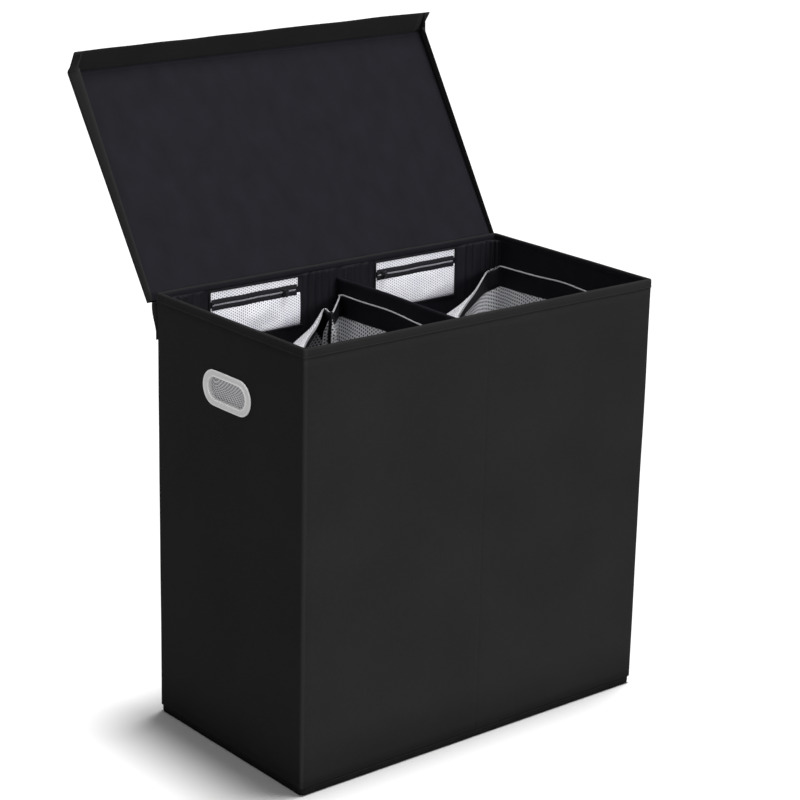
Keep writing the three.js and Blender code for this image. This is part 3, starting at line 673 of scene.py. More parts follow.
# The rim's inner face is a sheet of the darker lining cloth: painted shade inside the rim.
for name, profile, slot, stands_for in (("rim_binding", rim_outside, "cover_cloth", rim_nodes),
                                        ("rim_facing", rim_inside, "lining_cloth", [])):
    rim = wrap(points, outwards, [(depth * mm, body_top + height * mm) for depth, height in profile])
    rim[..., 2] += 0.3 * mm * swell(rim * (1, 1, 0), 0.09, 2)
    push_out(rim, outwards, 0.3 * swell(rim, 0.05, 3))
    cloth(name, rim, 0.9 * mm, slot, "hamper_body", stands_for, loop=True)

# %% [markdown]
# ## The base
#
# The base cloth is a shallow tray: its floor lies under the base board and its edge turns up as a hem, which the
# covers are sewn to. The hem bulges a little, and the corners are drawn in, so that the box seems to stand on a
# slightly smaller foot. The rows of this sheet start in the middle of the underside and run out and up the hem.

# %% Base cloth and hem
hem_radius = 9 * mm
points, outwards = around(0, hem_radius)
underside = [
    np.column_stack([points * share, np.full(len(points), height * mm)])
    for share, height in ((0.001, 0.3), (0.4, 0.25), (0.8, 0.15), (0.97, 0.05), (0.985, 0))
]
hem_profile = [(2.4, 0.3), (1.6, 1.4), (1.0, 4), (0.9, 7), (1.2, 10), (1.9, 11.8), (2.3, 12.4)]
hem = wrap(points, outwards, [(depth * mm, height * mm) for depth, height in hem_profile])
push_out(hem, outwards, 0.35 * swell(hem, 0.06, 4))
cloth("base_cloth_skin", np.concatenate([underside, hem]), 0.9 * mm, "cover_cloth", "hamper_body", ["base_cloth"],
      "base_hem_cloth", loop=True)

# %% [markdown]
# ## The lining
#
# The lining hangs loose inside the walls. Where two panels meet, in the corners and at the middle of the long walls,
# its fullness gathers into upright folds, and it rounds the corners more loosely than the boards do. Each fold
# wanders a little on its way down. The lining stays flat behind the pockets, which are sewn to it.

# %% Lining with its gathers
lining_depth, loose_radius, turn_steps = 5.4 * mm, 16 * mm, 19
pleats_to_a_turn, pleat_depth = 12, 1.4
fullness_below, fading = 0.35, 0.16  # the share of its fullness that a fold keeps far down, and how soon it fades
pocket_starts, pocket_ends, pocket_depth = 66 * mm, 240 * mm, 0.1
middle_folds = [-58, -42, -31, -21, -12, 12, 20, 30, 41, 55]
end_folds = [252, 264, 274, 284, 291]
fold_steps = [spot + shift for spot in middle_folds for shift in (-4, 0, 4)]
fold_steps += [sign * (spot + shift) for sign in (-1, 1) for spot in end_folds for shift in (-3, 0, 3)]
points, outwards = around(lining_depth, loose_radius, extra=np.array(fold_steps) * mm, turn_steps=turn_steps)
on_long = np.abs(outwards[:, 1]) > square_on
under_rim = [body_top - drop * mm for drop in (20, 13, 10, 8.5)]
inside = wrap(points, outwards, [(0, z) for z in (*steps_between(13 * mm, body_top - 30 * mm, 22 * mm), *under_rim)])
down = body_top - inside[..., 2]
folds = [(spot, 3 * k, k, 3.6, 3.2, 2.5, 70) for k, spot in enumerate(middle_folds)]
folds += [(sign * spot, 5 * k + sign, 2 * k + sign, 3.4, 2.8, 2, 60)
          for sign in (-1, 1) for k, spot in enumerate(end_folds)]
gathered = np.zeros(inside.shape[:2])
for spot, size_phase, sway_phase, size, width, sway, sway_pitch in folds:
    wander = sway * mm * np.sin(down / (sway_pitch * mm) + sway_phase)
    gathered += (size + 1.2 * math.sin(size_phase)) * hump(inside[..., 0] + wander, spot * mm, width * mm)
in_corner = np.abs(outwards).max(1) < 0.995
turned = np.arctan2(outwards[:, 1], outwards[:, 0])
pleats = pleat_depth * (1 + np.cos(pleats_to_a_turn * turned)) + 0.4 * np.sin(down / (50 * mm) + 2 * turned)
gathered = np.where(in_corner, pleats, np.where(on_long, gathered, 0))
gathered *= (fullness_below + (1 - fullness_below) * np.exp(-down / fading)) * (down > 9 * mm)
from_middle = np.abs(inside[..., 0])
behind_pocket = (from_middle > pocket_starts) & (from_middle < pocket_ends) & on_long & (down < pocket_depth)
loose = np.where(behind_pocket, 0, 0.8 + swell(inside, 0.13, 5))
push_out(inside, outwards, -gathered - 0.5 * loose)
inner_lining = cloth("inner_lining", inside[:, ::-1], 0.8 * mm, "lining_cloth", "hamper_body",
                     ["front_lining", "back_lining", "left_lining", "right_lining"], loop=True, held="hung",
                     rests_on=["rim_binding"])
pierce(inner_lining)

# %% [markdown]
# ## The hand slots
#
# A collar of plastic is pushed through the wall from outside. Its face is dished between a bead round the hole and
# a rolled outer edge, and both catch the light. Its section is swept round the slot: each point of the section is
# given by how far it lies from the hole's edge, as a share of the collar's width, and how far it stands off the wall.
# The collar is a little wider beyond the round ends than above and below. A mesh closes the hole behind it.

# %% Slot collars
collar_section = [
    (0, -7.0), (0, -2), (0, 1.6), (0.03, 2.6), (0.09, 3.1), (0.17, 2.6), (0.28, 1.8), (0.52, 1.5), (0.72, 1.7),
    (0.84, 2.4), (0.93, 2.8), (0.985, 2.1), (1, 0.8), (0.96, 0.3), (0.17, 0.3), (0.14, -0.2), (0.14, -7.0),
    (0.07, -7.3),
]
collar_low, collar_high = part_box("left_slot_collar")
mesh_low, mesh_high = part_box("left_slot_mesh")
slot_length, slot_rise = mesh_high.y - mesh_low.y + 0.6 * mm, mesh_high.z - mesh_low.z + 0.6 * mm
beyond_ends = collar_high.y - slot_length / 2
above = (collar_high.z - collar_low.z - slot_rise) / 2
seat = half_width + 0.3 * mm
net_edge = 0.3 * mm  # how far inside the hole's edge the mesh ends
net_half, net_radius = slot_length / 2 - net_edge, slot_rise / 2 - net_edge

for side, sign in (("left", -1), ("right", 1)):
    rings = []
    for grow, stand in reversed(collar_section):
        outline = stadium(slot_length + 2 * grow * beyond_ends, slot_rise + 2 * grow * above)
        rings += [(sign * (seat + stand * mm), sign * along, slot_height + rising) for along, rising in outline]
    count = len(collar_section)
    collar_mesh = new_mesh(rings, tube_faces(count, len(rings) // count, closed=True))
    collar = piece(f"{side}_collar", collar_mesh, "slot_plastic", "hamper_body", [f"{side}_slot_collar"])
    rounding = collar.modifiers.new("smooth_sections", "SUBSURF")
    rounding.levels = rounding.render_levels = 1
    along, share = np.meshgrid(wall_steps(net_half, 2 * mm, (-net_half + 0.4 * mm, net_half - 0.4 * mm)),
                               np.linspace(-1, 1, 11))
    into_end = (np.abs(along) - net_half + net_radius).clip(0)
    net = np.zeros((*along.shape, 3))
    net[..., 1] = sign * along
    net[..., 2] = slot_height + share * np.sqrt((net_radius ** 2 - into_end ** 2).clip((0.3 * mm) ** 2))
    slack = (1 - share ** 2) * (1 - (along / net_half) ** 2)
    net[..., 0] = sign * (-mesh_low.x - slack * (1.6 + 0.5 * swell(net, 0.02, 20)) * mm)
    cloth(f"{side}_slot_net", net, 0.4 * mm, "bag_mesh", "hamper_body", [f"{side}_slot_mesh"], "slot_mesh",
          held="stretched", rests_on=[f"{side}_collar"])

# %% [markdown]
# ## The divider
#
# The divider is a board in a cloth sleeve. The sleeve is slack, so its sides swell and its top edge is soft and not
# quite level. The sheet runs round the board, and its top rows close over it.

# %% Divider sleeve
divider_low, divider_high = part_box("divider_cover")
sleeve_half, sleeve_reach = divider_high.x, divider_high.y
end_half = 0.9 * mm  # half the sleeve's thickness at its front and back edges, where it is sewn shut
sides = steps_between(-sleeve_reach + 2 * mm, sleeve_reach - 2 * mm, 14 * mm)
plan = [(sleeve_half, y) for y in sides] + [(end_half, sleeve_reach), (-end_half, sleeve_reach)]
plan += [(-sleeve_half, y) for y in sides[::-1]] + [(-end_half, -sleeve_reach), (end_half, -sleeve_reach)]
heights = [*steps_between(divider_low.z, divider_high.z - 24 * mm, 26 * mm)]
heights += [divider_high.z + lift * mm for lift in (-16, -9, -5, -2, 0.2, 1.6, 2.4, 2.7)]
pinch = [1.0] * (len(heights) - 6) + [1.1, 1.25, 1.2, 0.95, 0.55, 0.05]
sock = np.array([[(x * narrow, y, z) for x, y in plan] for z, narrow in zip(heights, pinch)])
slack = 0.5 + 0.5 * swell(sock, 0.07, 6)
slack *= np.sin(np.pi * np.arange(len(heights)) / (len(heights) - 1))[:, None] ** 0.4
on_side = np.abs(np.array(plan)[:, 0]) > 1 * mm
sock[..., 0] += np.sign(sock[..., 0]) * slack * 0.8 * mm * on_side
near_top = np.exp(-(divider_high.z - sock[..., 2]).clip(0) / 0.05)
sock[..., 2] += near_top * 0.7 * mm * np.sin(sock[..., 1] / 0.045)
sock[..., 0] += near_top * 0.8 * mm * np.sin(sock[..., 1] / 0.06 + 1)
cloth("divider_sleeve", sock, 0.7 * mm, "lining_cloth", "divider", ["divider_cover"], loop=True, held="stretched",
      rests_on=["divider_board"])

# %% [markdown]
# ## The pockets
#
# Each pocket is white mesh sewn to the lining and bound in black, with a zip across it near the top. The mesh below
# the zip is cut a little full: it swells off the wall and ripples. The zip is stiffer, so it keeps its line, but
# being sewn to something full it wanders up and down by a millimetre or so.

# %% Pocket panels
def zip_line(x, middle):
    """How far the zip wanders from its straight line at x."""
    return (0.5 * np.sin((x - middle) / (30 * mm)) + 0.25 * np.sin((x - middle) / (9 * mm) + 1)) * mm


def wall_panel(name, left, right, low, high, stand, slot, stands_for, fullness, follow, step=6 * mm, **how):
    """A sheet on the back wall that faces the front. stand is where it lies, and fullness how far it swells."""
    xs, shares = steps_between(left, right, step), np.linspace(0, 1, max(3, round((high - low) / (4 * mm)) + 1))
    across, rising = np.meshgrid(np.linspace(0, 1, len(xs)), shares)
    grid = np.zeros((len(shares), len(xs), 3))
    grid[..., 0] = xs
    grid[..., 2] = low + rising * (high - low) + follow(grid[..., 0], rising)
    bulge = (np.sin(np.pi * across) * np.sin(np.pi * rising)).clip(0) ** 0.6
    ripple = 0.55 + 0.3 * swell(grid, 0.022, 7 + 40 * abs(left)) + 0.35 * swell(grid, 0.05, 9 + 40 * abs(left))
    grid[..., 1] = stand - fullness * bulge * ripple
    return cloth(name, grid, 0.5 * mm, slot, "hamper_body", stands_for, **how)


def bound_edge(name, low, high, width, stand, stands_for, wide=18, tall=9):
    """A flat tape round a rectangle on the back wall, a little rounded across."""
    rows = []
    for share in (0, 0.25, 0.5, 0.75, 1):
        inset = share * width
        xs = np.linspace(low[0] + inset, high[0] - inset, wide)
        zs = np.linspace(low[1] + inset, high[1] - inset, tall)
        lift = 0.6 * mm * math.sin(math.pi * share)
        rows.append([(xs[j], stand - lift, zs[i]) for i, j in rim_of(tall, wide, False)[0][:-1]])
    cloth(name, rows, 0.5 * mm, "lining_cloth", "hamper_body", stands_for, loop=True)


for side, spread in (("left", 8 * mm), ("right", 1.5 * mm)):
    mesh_low, mesh_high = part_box(f"{side}_pocket_mesh")
    top_low, top_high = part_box(f"{side}_pocket_top_mesh")
    middle = (mesh_low.x + mesh_high.x) / 2
    left, right = mesh_low.x + 2.2 * mm, mesh_high.x - 2.2 * mm
    wall = mesh_high.y - 0.2 * mm
    wall_panel(f"{side}_pocket_front", left, right + spread, mesh_low.z + 2 * mm, mesh_high.z - 3 * mm, wall,
               "pocket_mesh", [f"{side}_pocket_mesh"], 4.2 * mm,
               lambda x, share, middle=middle: share * zip_line(x, middle),
               held="gathered", rests_on=["inner_lining"])
    wall_panel(f"{side}_pocket_head", left, right, top_low.z + 3 * mm, top_high.z - 1 * mm, wall,
               "pocket_mesh", [f"{side}_pocket_top_mesh"], 0.8 * mm,
               lambda x, share, middle=middle: (1 - share) * zip_line(x, middle),
               held="stretched", rests_on=["inner_lining"])
    bound_edge(f"{side}_pocket_edge", (mesh_low.x - 1 * mm, mesh_low.z - 1 * mm),
               (mesh_high.x + spread + 1 * mm, top_high.z + 1 * mm), 3.4 * mm, wall - 0.9 * mm,
               [f"{side}_pocket_binding"])

# %% [markdown]
# ## The zips
#
# A zip is two woven tapes with a row of teeth along each. The teeth of one row stand in the gaps of the other. Each
# tooth is a small rounded block, and the rows follow the wandering line of the tapes.

# %% Zip tapes and teeth
def blocks_mesh(centres, size):
    """Many small blocks with bevelled corners as one mesh."""
    x, y, z = (side / 2 for side in size)
    flat = 0.6  # the share of each side that the bevels leave flat
    section = [(-x, -z * flat), (-x * flat, -z), (x * flat, -z), (x, -z * flat),
               (x, z * flat), (x * flat, z), (-x * flat, z), (-x, z * flat)]
    points, faces = [], []
    for centre in centres:
        faces += tube_faces(3, len(section), start=len(points))
        for depth, scale in ((y, 1.0), (-0.5 * y, 1.0), (-y, 0.7)):
            points += [(centre[0] + a * scale, centre[1] + depth, centre[2] + b * scale) for a, b in section]
    mesh = new_mesh(points, faces)
    mesh.shade_flat()
    return mesh


tooth, pitch = (1.1 * mm, 1.2 * mm, 1.2 * mm), 2.2 * mm
for side in ("left", "right"):
    tape_low, tape_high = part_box(f"{side}_zip_lower_tape")[0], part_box(f"{side}_zip_upper_tape")[1]
    middle = (tape_low.x + tape_high.x) / 2
    zip_height = (tape_low.z + tape_high.z) / 2
    tape_front = tape_low.y
    for part, low, high in (("lower", tape_low.z - 1 * mm, zip_height - 0.2 * mm),
                            ("upper", zip_height + 0.2 * mm, tape_high.z + 1 * mm)):
        wall_panel(f"{side}_{part}_tape", tape_low.x, tape_high.x, low, high, tape_front, "zip_tape",
                   [f"{side}_zip_{part}_tape"], 0.5 * mm,
                   lambda x, share, middle=middle: zip_line(x, middle), 3 * mm)
    centres = [
        (x + row * pitch / 2, tape_front - 0.9 * mm, zip_height + row * 0.5 * mm + zip_line(x, middle))
        for row in (-1, 1) for x in np.arange(tape_low.x + 3 * mm, tape_high.x - 3 * mm, pitch)
    ]
    piece(f"{side}_teeth", blocks_mesh(centres, tooth), "zip_teeth", "hamper_body", [f"{side}_zip_chain"])

# %% [markdown]
# ## The bags
#
# A bag is a square sack of mesh. Its hem is held near three corners of the bin, but the corner at the back left has
# slipped, so the back and left sides lean in and fall in folds. The form is lofted: each column of the sheet goes
# from its point on the hem to its point on the floor, and leans over only in its upper part. The folds are largest
# where the hem is slack, and in one place of each bag it is tucked under. A simulation would find its own folds, not
# those of the photograph.

# %% Loft a bag
band_depth, lean_depth, bag_depth = 34 * mm, 0.25, 0.594  # how far the band, the lean and the bag reach down
slack_from, far_slip = 0.1, 0.18  # a side that has slipped this far is wholly slack, and has slipped far
wide_fold, narrow_fold, drawn_fold = 9.5 * mm, 5.3 * mm, 7.5 * mm  # a fold's pitch is 2 pi times as much
folds_end, drawn_reach = 0.28, 0.09  # how far down the folds reach, and how far round the drawn corner does


def along_line(line, count):
    """Points at even distances along a line, with its corners softened."""
    line = np.array(line, float)
    for _ in range(2):
        cut = [line[0]]
        for a, b in zip(line[:-1], line[1:]):
            cut += [0.8 * a + 0.2 * b, 0.2 * a + 0.8 * b]
        line = np.array([*cut, line[-1]])
    reach = reach_along(line)
    return at_reach(line, reach, np.linspace(0, reach[-1], count + 1)[:-1])


def unit(vectors):
    return vectors / np.linalg.norm(vectors, axis=-1, keepdims=True)


def tucked_part(counts, tucked):
    """Where the slack side's hem is tucked under: 1 in the middle of the tuck, 0 past the shares that bound it."""
    share = (np.arange(sum(counts)) - counts[0] - counts[1]) / counts[2]
    return np.sin(np.pi * ((share - tucked[0]) / (tucked[1] - tucked[0])).clip(0, 1)).clip(0) ** 0.4


def bag_grid(low, high, hem_sides, counts, seed, tucked, tuck_fall):
    """hem_sides are four lines, from corner to corner as the floor's sides are, starting at the front left."""
    corners = np.array([(low.x, low.y), (high.x, low.y), (high.x, high.y), (low.x, high.y)])
    hem = np.concatenate([along_line(line, count) for line, count in zip(hem_sides, counts)])
    floor = np.concatenate([
        corners[k] + (corners[(k + 1) % 4] - corners[k]) * np.linspace(0, 1, count + 1)[:-1, None]
        for k, count in enumerate(counts)
    ])
    # The slack side hangs outwards below its hem, and the more so, the farther it has slipped.
    slip = np.linalg.norm(hem[:, :2] - floor, axis=1)
    tuck = tucked_part(counts, tucked)
    fullness = (slip / slack_from).clip(0, 1) * (1 - 0.75 * tuck)
    along = np.roll(hem, -1, 0) - np.roll(hem, 1, 0)
    outside = unit(np.column_stack([along[:, 1], -along[:, 0]]))
    billow = (20 * fullness + 42 * (slip / far_slip).clip(0, 1) ** 2 * fullness) * mm
    band_foot = hem[:, :2] + outside * billow[:, None]
    downs = np.concatenate([
        np.linspace(0, band_depth, 6),
        band_depth + np.linspace(0.03, 1, 16) ** 1.3 * lean_depth,
        np.linspace(0.31, bag_depth, 7),
    ])[::-1]
    rows = []
    for down in downs:
        height = np.maximum(low.z, hem[:, 2] - down * (hem[:, 2] - low.z) / bag_depth)
        if down <= band_depth:
            plan = hem[:, :2] + (band_foot - hem[:, :2]) * down / band_depth
        else:
            lean = max(0, 1 - (down - band_depth) / lean_depth)
            plan = floor + (band_foot - floor) * lean ** 1.6 * (1.6 - 0.6 * lean)
        rows.append(np.column_stack([plan, height]))
    grid = np.array(rows)
    # Folds of two widths hang from the slack side, the whole bag swells, and the back right corner is drawn tight.
    turns = reach_along(hem[:, :2])
    folds = 0.6 * np.sin(turns / wide_fold + seed) + 0.4 * np.sin(turns / narrow_fold + 2 * seed)
    hang = np.sin(np.pi * (downs / folds_end).clip(0, 1))[:, None] ** 1.2
    amount = (6 * fullness + 0.8) * folds * hang
    amount += 1.2 * swell(grid, 0.06, seed) * np.sin(np.pi * (downs / bag_depth).clip(0, 1))[:, None]
    amount = np.where(fullness < 0.05, np.abs(amount) * 0.6, amount)
    from_corner = turns - turns[counts[0] + counts[1]]
    below_band = ((downs - band_depth) / 0.05).clip(0, 1)[:, None]
    drawn = 7 * hump(from_corner, 0, drawn_reach) * (0.5 + 0.5 * np.sin(from_corner / drawn_fold)) * hang * below_band
    amount += np.where(from_corner < 0, drawn, 0.4 * drawn)
    grid[..., :2] += unit(corners.mean(0) - grid[..., :2]) * (amount * mm)[..., None]
    # The band hangs inside the mouth. It falls deeper where it is tucked under.
    deeper = 1 + (tuck_fall - 1) * tuck
    inset = (1 + (tuck_fall - 1) * 2.5 * tuck[:, None]) * mm
    hanging = (12 * fullness[:, None] * mm) * outside
    band = np.array([
        np.column_stack([hem[:, :2] + hanging * down / band_depth - outside * inset, hem[:, 2] - down * deeper])
        for down in np.linspace(band_depth, 0, 6)
    ])
    return grid, band


def bag_pieces(side, counts, seed, tucked, tuck_fall):
    low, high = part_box(f"{side}_bag")
    hem_sides = [[(low.x + x * mm, low.y + y * mm, z * mm) for x, y, z in line] for line in hems[side]]
    grid, band = bag_grid(low, high, hem_sides, counts, seed, tucked, tuck_fall)
    floor = grid[0].copy()
    middle = floor.mean(0)
    base = [middle + (floor - middle) * share for share in (0.002, 0.35, 0.7, 0.93)]
    shell = np.concatenate([base, grid])
    shell[: len(base) + 1, :, 2] = low.z + 0.4 * mm
    # The hem's tape is folded over the edge. It is narrow where the hem lies tight, and nearly gone in the tuck.
    edge, sideways = grid[-1], facing(grid, True)[-1]
    slack = (np.linalg.norm((edge - floor)[:, :2], axis=1) / slack_from).clip(0, 1)
    shown = ((1 - 0.88 * tucked_part(counts, tucked)) * (0.62 + 0.38 * slack))[:, None]
    profile = [(0.4, -1.8), (0.6, -0.4), (0.3, 0.5), (-0.7, 0.9), (-1.6, 0.5), (-2.0, -0.4), (-1.8, -1.8)]
    drawn_in = edge - (1 - shown) * (sideways * 1.2 * mm + (0, 0, 1.5 * mm))
    tape = [drawn_in + shown * (sideways * (stand * mm) + (0, 0, lift * mm)) for stand, lift in profile]
    shell_piece, *edging = [
        cloth(f"{side}_{part}", layer, thickness, slot, f"{side}_bag", [f"{side}_bag{node}"], loop=True)
        for part, layer, thickness, slot, node in (
            ("bag_shell", shell, 0.7 * mm, "bag_mesh", ""),
            ("band", band[:, ::-1], 0.5 * mm, "lining_cloth", "_band"),
            ("hem", tape, 0.4 * mm, "hem_tape", "_hem"),
        )
    ]
    cut_cloth(shell_piece)


# Each hem's four sides: front, right, back left and left, in millimetres from the bin's front left corner.
hems = {
    "left": [
        [(0, 0, 598), (80, -1, 600), (170, 0, 597), (250, -1, 600), (305, 0, 601)],
        [(305, 0, 601), (306, 60, 600), (304, 120, 598), (306, 200, 604), (305, 270, 602), (305, 322, 603)],
        [(305, 322, 600), (294, 309, 600), (267, 282, 599), (246, 262, 596), (252, 276, 592), (264, 300, 591),
         (256, 300, 590), (232, 272, 590), (200, 240, 588), (150, 197, 586), (104, 150, 582)],
        [(104, 150, 582), (60, 95, 585), (25, 45, 594), (0, 0, 598)],
    ],
    "right": [
        [(0, 0, 600), (80, -1, 601), (170, 0, 599), (250, -1, 601), (305, 0, 604)],
        [(305, 0, 604), (306, 50, 604), (303, 110, 603), (306, 170, 606), (303, 235, 603), (303, 312, 602)],
        [(303, 312, 602), (298, 318, 597), (281, 320, 594), (240, 284, 596), (190, 242, 594), (135, 200, 592),
         (90, 165, 588)],
        [(90, 165, 588), (55, 118, 592), (25, 60, 597), (0, 0, 600)],
    ],
}
bag_pieces("left", (30, 30, 80, 40), 1.0, tucked=(0.235, 0.365), tuck_fall=2.1)
bag_pieces("right", (30, 30, 70, 40), 2.0, tucked=(-0.004, 0.135), tuck_fall=1)

# %% [markdown]
# ## The lid
#
# The lid is a board in a cloth envelope, with lips that hang down over the rim when it is shut: two short ones at
# the sides and a longer one in front, which a gusset in each corner joins. It is easiest to build shut and level, and
# then to turn it back about its hinge, as the solid was.

# %% Turn a grid back as the lid is
hinge = next(joint for joint in frame["joints"] if joint["name"] == "lid_hinge")
hinge_at = np.array(hinge["pos_m"])
open_angle = math.radians(hinge["range_deg"][0])
open_turn = np.array([
    [1, 0, 0],
    [0, math.cos(open_angle), -math.sin(open_angle)],
    [0, math.sin(open_angle), math.cos(open_angle)],
])

lid_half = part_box("lid_right_lip")[1].x
lid_back, lid_front = half_depth + 5 * mm, half_depth - 355 * mm
lid_top, lid_under = body_top + 5.9 * mm, body_top + 1.3 * mm
lid_skew, lid_taper, lid_shift = 4 * mm, 0.0155, 1 * mm


def opened(grid):
    return (np.asarray(grid) - hinge_at) @ open_turn.T + hinge_at


def askew(grid):
    """The cloth of the lid isn't cut quite square: it narrows towards the hinge, and its front runs out of true."""
    grid = np.array(grid, float)
    share = (lid_back - grid[..., 1]) / (lid_back - lid_front)
    grid[..., 1] -= lid_skew * share * grid[..., 0] / lid_half
    grid[..., 0] *= 1 - lid_taper * (1.1 - share).clip(0.1, 1.1)
    grid[..., 0] -= lid_shift * share
    return grid


print("hinge at", hinge_at, "opens by", round(math.degrees(-open_angle), 1))

# %% [markdown]
# The outer cloth is one sheet that covers the top, the side lips and the front lip. Its columns start at the bottom
# of one side lip, go up, across and down the other. Its rows start at the back and end at the tip of the front lip,
# and where a side lip's columns meet the front lip's rows they close the corner as the gusset does.

# %% Outer cloth of the lid and its lips
side_lip, side_lip_at_hinge = 20 * mm, 12 * mm
lean_at_hinge = math.tan(math.radians(14))
lean_in_front = {-1: math.tan(math.radians(24)), 1: math.tan(math.radians(20))}
front_lip, splay, gusset, flare = 37 * mm, math.radians(30), 10 * mm, 6 * mm
lip_shares = (1.0, 0.66, 0.33, 0.08)
top_columns = wall_steps(lid_half - 1.2 * mm, 16 * mm, (-lid_half + 3 * mm, lid_half - 3 * mm))
top_rows = [*steps_between(lid_front + 2.5 * mm, lid_back, 16 * mm)[::-1], lid_front + 0.8 * mm]
lip_rows = [0.03, 0.12, 0.3, 0.5, 0.7, 0.88, 1.0]
tip_drop = np.array([-math.sin(splay), -math.cos(splay)]) * front_lip


def lid_row(middle, side):
    """A row of the sheet: up one lip, across the lid and down the other lip."""
    lips = {-1: [], 1: []}
    for y, z in side:
        forward = np.interp(y, (lid_front, lid_back), (1, 0))
        for sign, lip in lips.items():
            lean = lean_at_hinge + (lean_in_front[sign] - lean_at_hinge) * forward
            lip.append((sign * (lid_half - lean * (lid_top - z)), y, z))
    return lips[-1] + [(x, *middle) for x in top_columns] + lips[1][::-1]


shell = []
for y in top_rows:
    lip = np.interp(y, (lid_front + gusset, lid_back), (side_lip, side_lip_at_hinge))
    shell.append(lid_row((y, lid_top), [(y, lid_top - share * lip) for share in lip_shares]))
gusset_foot = np.array([lid_front + gusset, lid_top - side_lip])
for share in lip_rows:
    at = np.array([lid_front, lid_top]) + tip_drop * share
    foot = gusset_foot + (at - gusset_foot) * 0.8 * share
    shell.append(lid_row(tuple(at), [tuple(at + (foot - at) * lip_share) for lip_share in lip_shares]))
shell = np.array(shell)
down_lip = np.array([0] * len(top_rows) + lip_rows)[:, None]
shell[..., 0] += flare * down_lip * np.interp(shell[..., 0], (0, lid_half - 4 * mm), (0, 1)) ** 2
level_part = shell[..., 2] > lid_top - 1e-6
shell[..., 2] += np.where(level_part, 0.3 * mm * swell(shell, 0.12, 11), 0)
shell[..., 1] += np.where(level_part, 0, 0.9 * mm * swell(shell, 0.08, 12))
cloth("lid_outer_cloth", opened(askew(shell)), np.where(level_part, 1.0, 1.2) * mm, "cover_cloth", "lid",
      ["lid_cover", "lid_front_lip", "lid_left_lip", "lid_right_lip"], held="stretched", rests_on=["lid_stiffener"])

# %% [markdown]
# The lining of the lid is what one sees when it is open. It is pulled over the board, and its edge sinks where it is
# sewn down, a few millimetres in from the lips. The board follows the cloth, which isn't quite square.

# %% Board and lining of the lid
board_xs = wall_steps(lid_half - 5 * mm, 40 * mm)
board_ys = steps_between(lid_front + 4 * mm, lid_back - 4 * mm, 40 * mm)[::-1]
cloth("lid_stiffener", opened(askew(plate(board_xs, board_ys, lid_under + 0.85 * mm))), 2.6 * mm, "stiffener_board",
      "lid", ["lid_board"])

inner_half, inner_front = lid_half - 3.4 * mm, lid_front + 0.6 * mm
edge_steps = np.array([0, 1.5, 4, 7, 11]) * mm
seam_inset = 5 * mm
xs = [*wall_steps(inner_half, 15 * mm), *(edge_steps - inner_half), *(inner_half - edge_steps)]
ys = [*steps_between(inner_front, lid_back, 15 * mm), *(inner_front + edge_steps), *(lid_back - edge_steps)]
panel = plate(np.unique(xs), np.unique(ys)[::-1], lid_under)
from_edge = np.minimum(panel[..., 1] - lid_front, lid_back - panel[..., 1])
from_edge = np.minimum(inner_half - np.abs(panel[..., 0]), from_edge)
panel[..., 2] -= mm * (0.35 * (1 - np.exp(-from_edge / seam_inset)) + 0.2 * swell(panel, 0.12, 13))
panel[..., 2] += 0.3 * mm * hump(from_edge, seam_inset, 1.6 * mm)
# The lid's lining takes the lighter copy of the lining cloth: painted light.
cloth("lid_inner_cloth", opened(askew(panel)), 0.8 * mm, "lining_cloth", "lid", ["lid_lining"], "lid_lining_painted_light",
      held="stretched", rests_on=["lid_stiffener"])

# %% [markdown]
# ## The strip behind the lid
#
# A strip of cloth is sewn to the back wall, and its upper edge to the back of the lid. It is the hinge. It bends
# between the body and the lid. It is built as it lies with the lid open, and belongs to neither body.

# %% Hinge strip
strip_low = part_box("lid_flap")[0]
seam_top = body_top - 58 * mm
head = opened([0, lid_back + 1.1 * mm, (lid_top + lid_under) / 2])
foot = half_depth + 1.0 * mm
shares = np.linspace(0, 1, 12)[1:]
curve = [(foot, strip_low.z), (foot, strip_low.z + 6 * mm), (foot, seam_top)]
for share in shares:
    bow = 4.5 * mm * share * math.sin(math.pi * share)
    curve.append((foot + (head[1] - foot) * share + bow, seam_top + (head[2] - seam_top) * share))
xs = steps_between(-half_width, half_width, 16 * mm)[::-1]
strip = np.array([[(x, y, z) for x in xs] for y, z in curve])
free = np.array([0, 0, 0, *np.sin(np.pi * shares)])
strip[..., 1] += free[:, None] * 0.7 * mm * swell(strip, 0.07, 14)
hinge_strip = cloth("hinge_strip", strip, 1.1 * mm, "cover_cloth", None, ["lid_flap"])
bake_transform(hinge_strip)
cut_cloth(hinge_strip)

# %% [markdown]
# ## Stitching
#
# Every edge is sewn. A row of stitches is a run of short threads, each dipping into the cloth at its two ends, with
# a gap between them. All the stitches of a row are one mesh: a slim six-sided thread for each.

# %% Sew rows of stitches
stitch_section = ((0, -0.6, 0.5), (0.25, 0.5, 1), (0.75, 0.5, 1), (1, -0.6, 0.5))  # share of length, lift, size


def stitch_mesh(line, outwards, length=3.2 * mm, gap=1.0 * mm, radius=0.28 * mm, sides=6, ahead=1e-4):
    line, outwards = np.asarray(line, float), np.asarray(outwards, float)
    reach = reach_along(line)
    points, faces = [], []
    for k in range(int(reach[-1] // (length + gap))):
        faces += tube_faces(len(stitch_section), sides, start=len(points))
        for share, lift, size in stitch_section:
            at = k * (length + gap) + share * length
            along = at_reach(line, reach, at + ahead) - at_reach(line, reach, at - ahead)
            out = unit(at_reach(outwards, reach, at))
            across = np.cross(along, out)
            across /= max(np.linalg.norm(across), 1e-12)
            centre = at_reach(line, reach, at) + out * lift * radius
            for side in range(sides):
                angle = side / sides * 2 * math.pi
                points.append(centre + size * radius * (math.cos(angle) * across + math.sin(angle) * out))
    return new_mesh(points, faces)


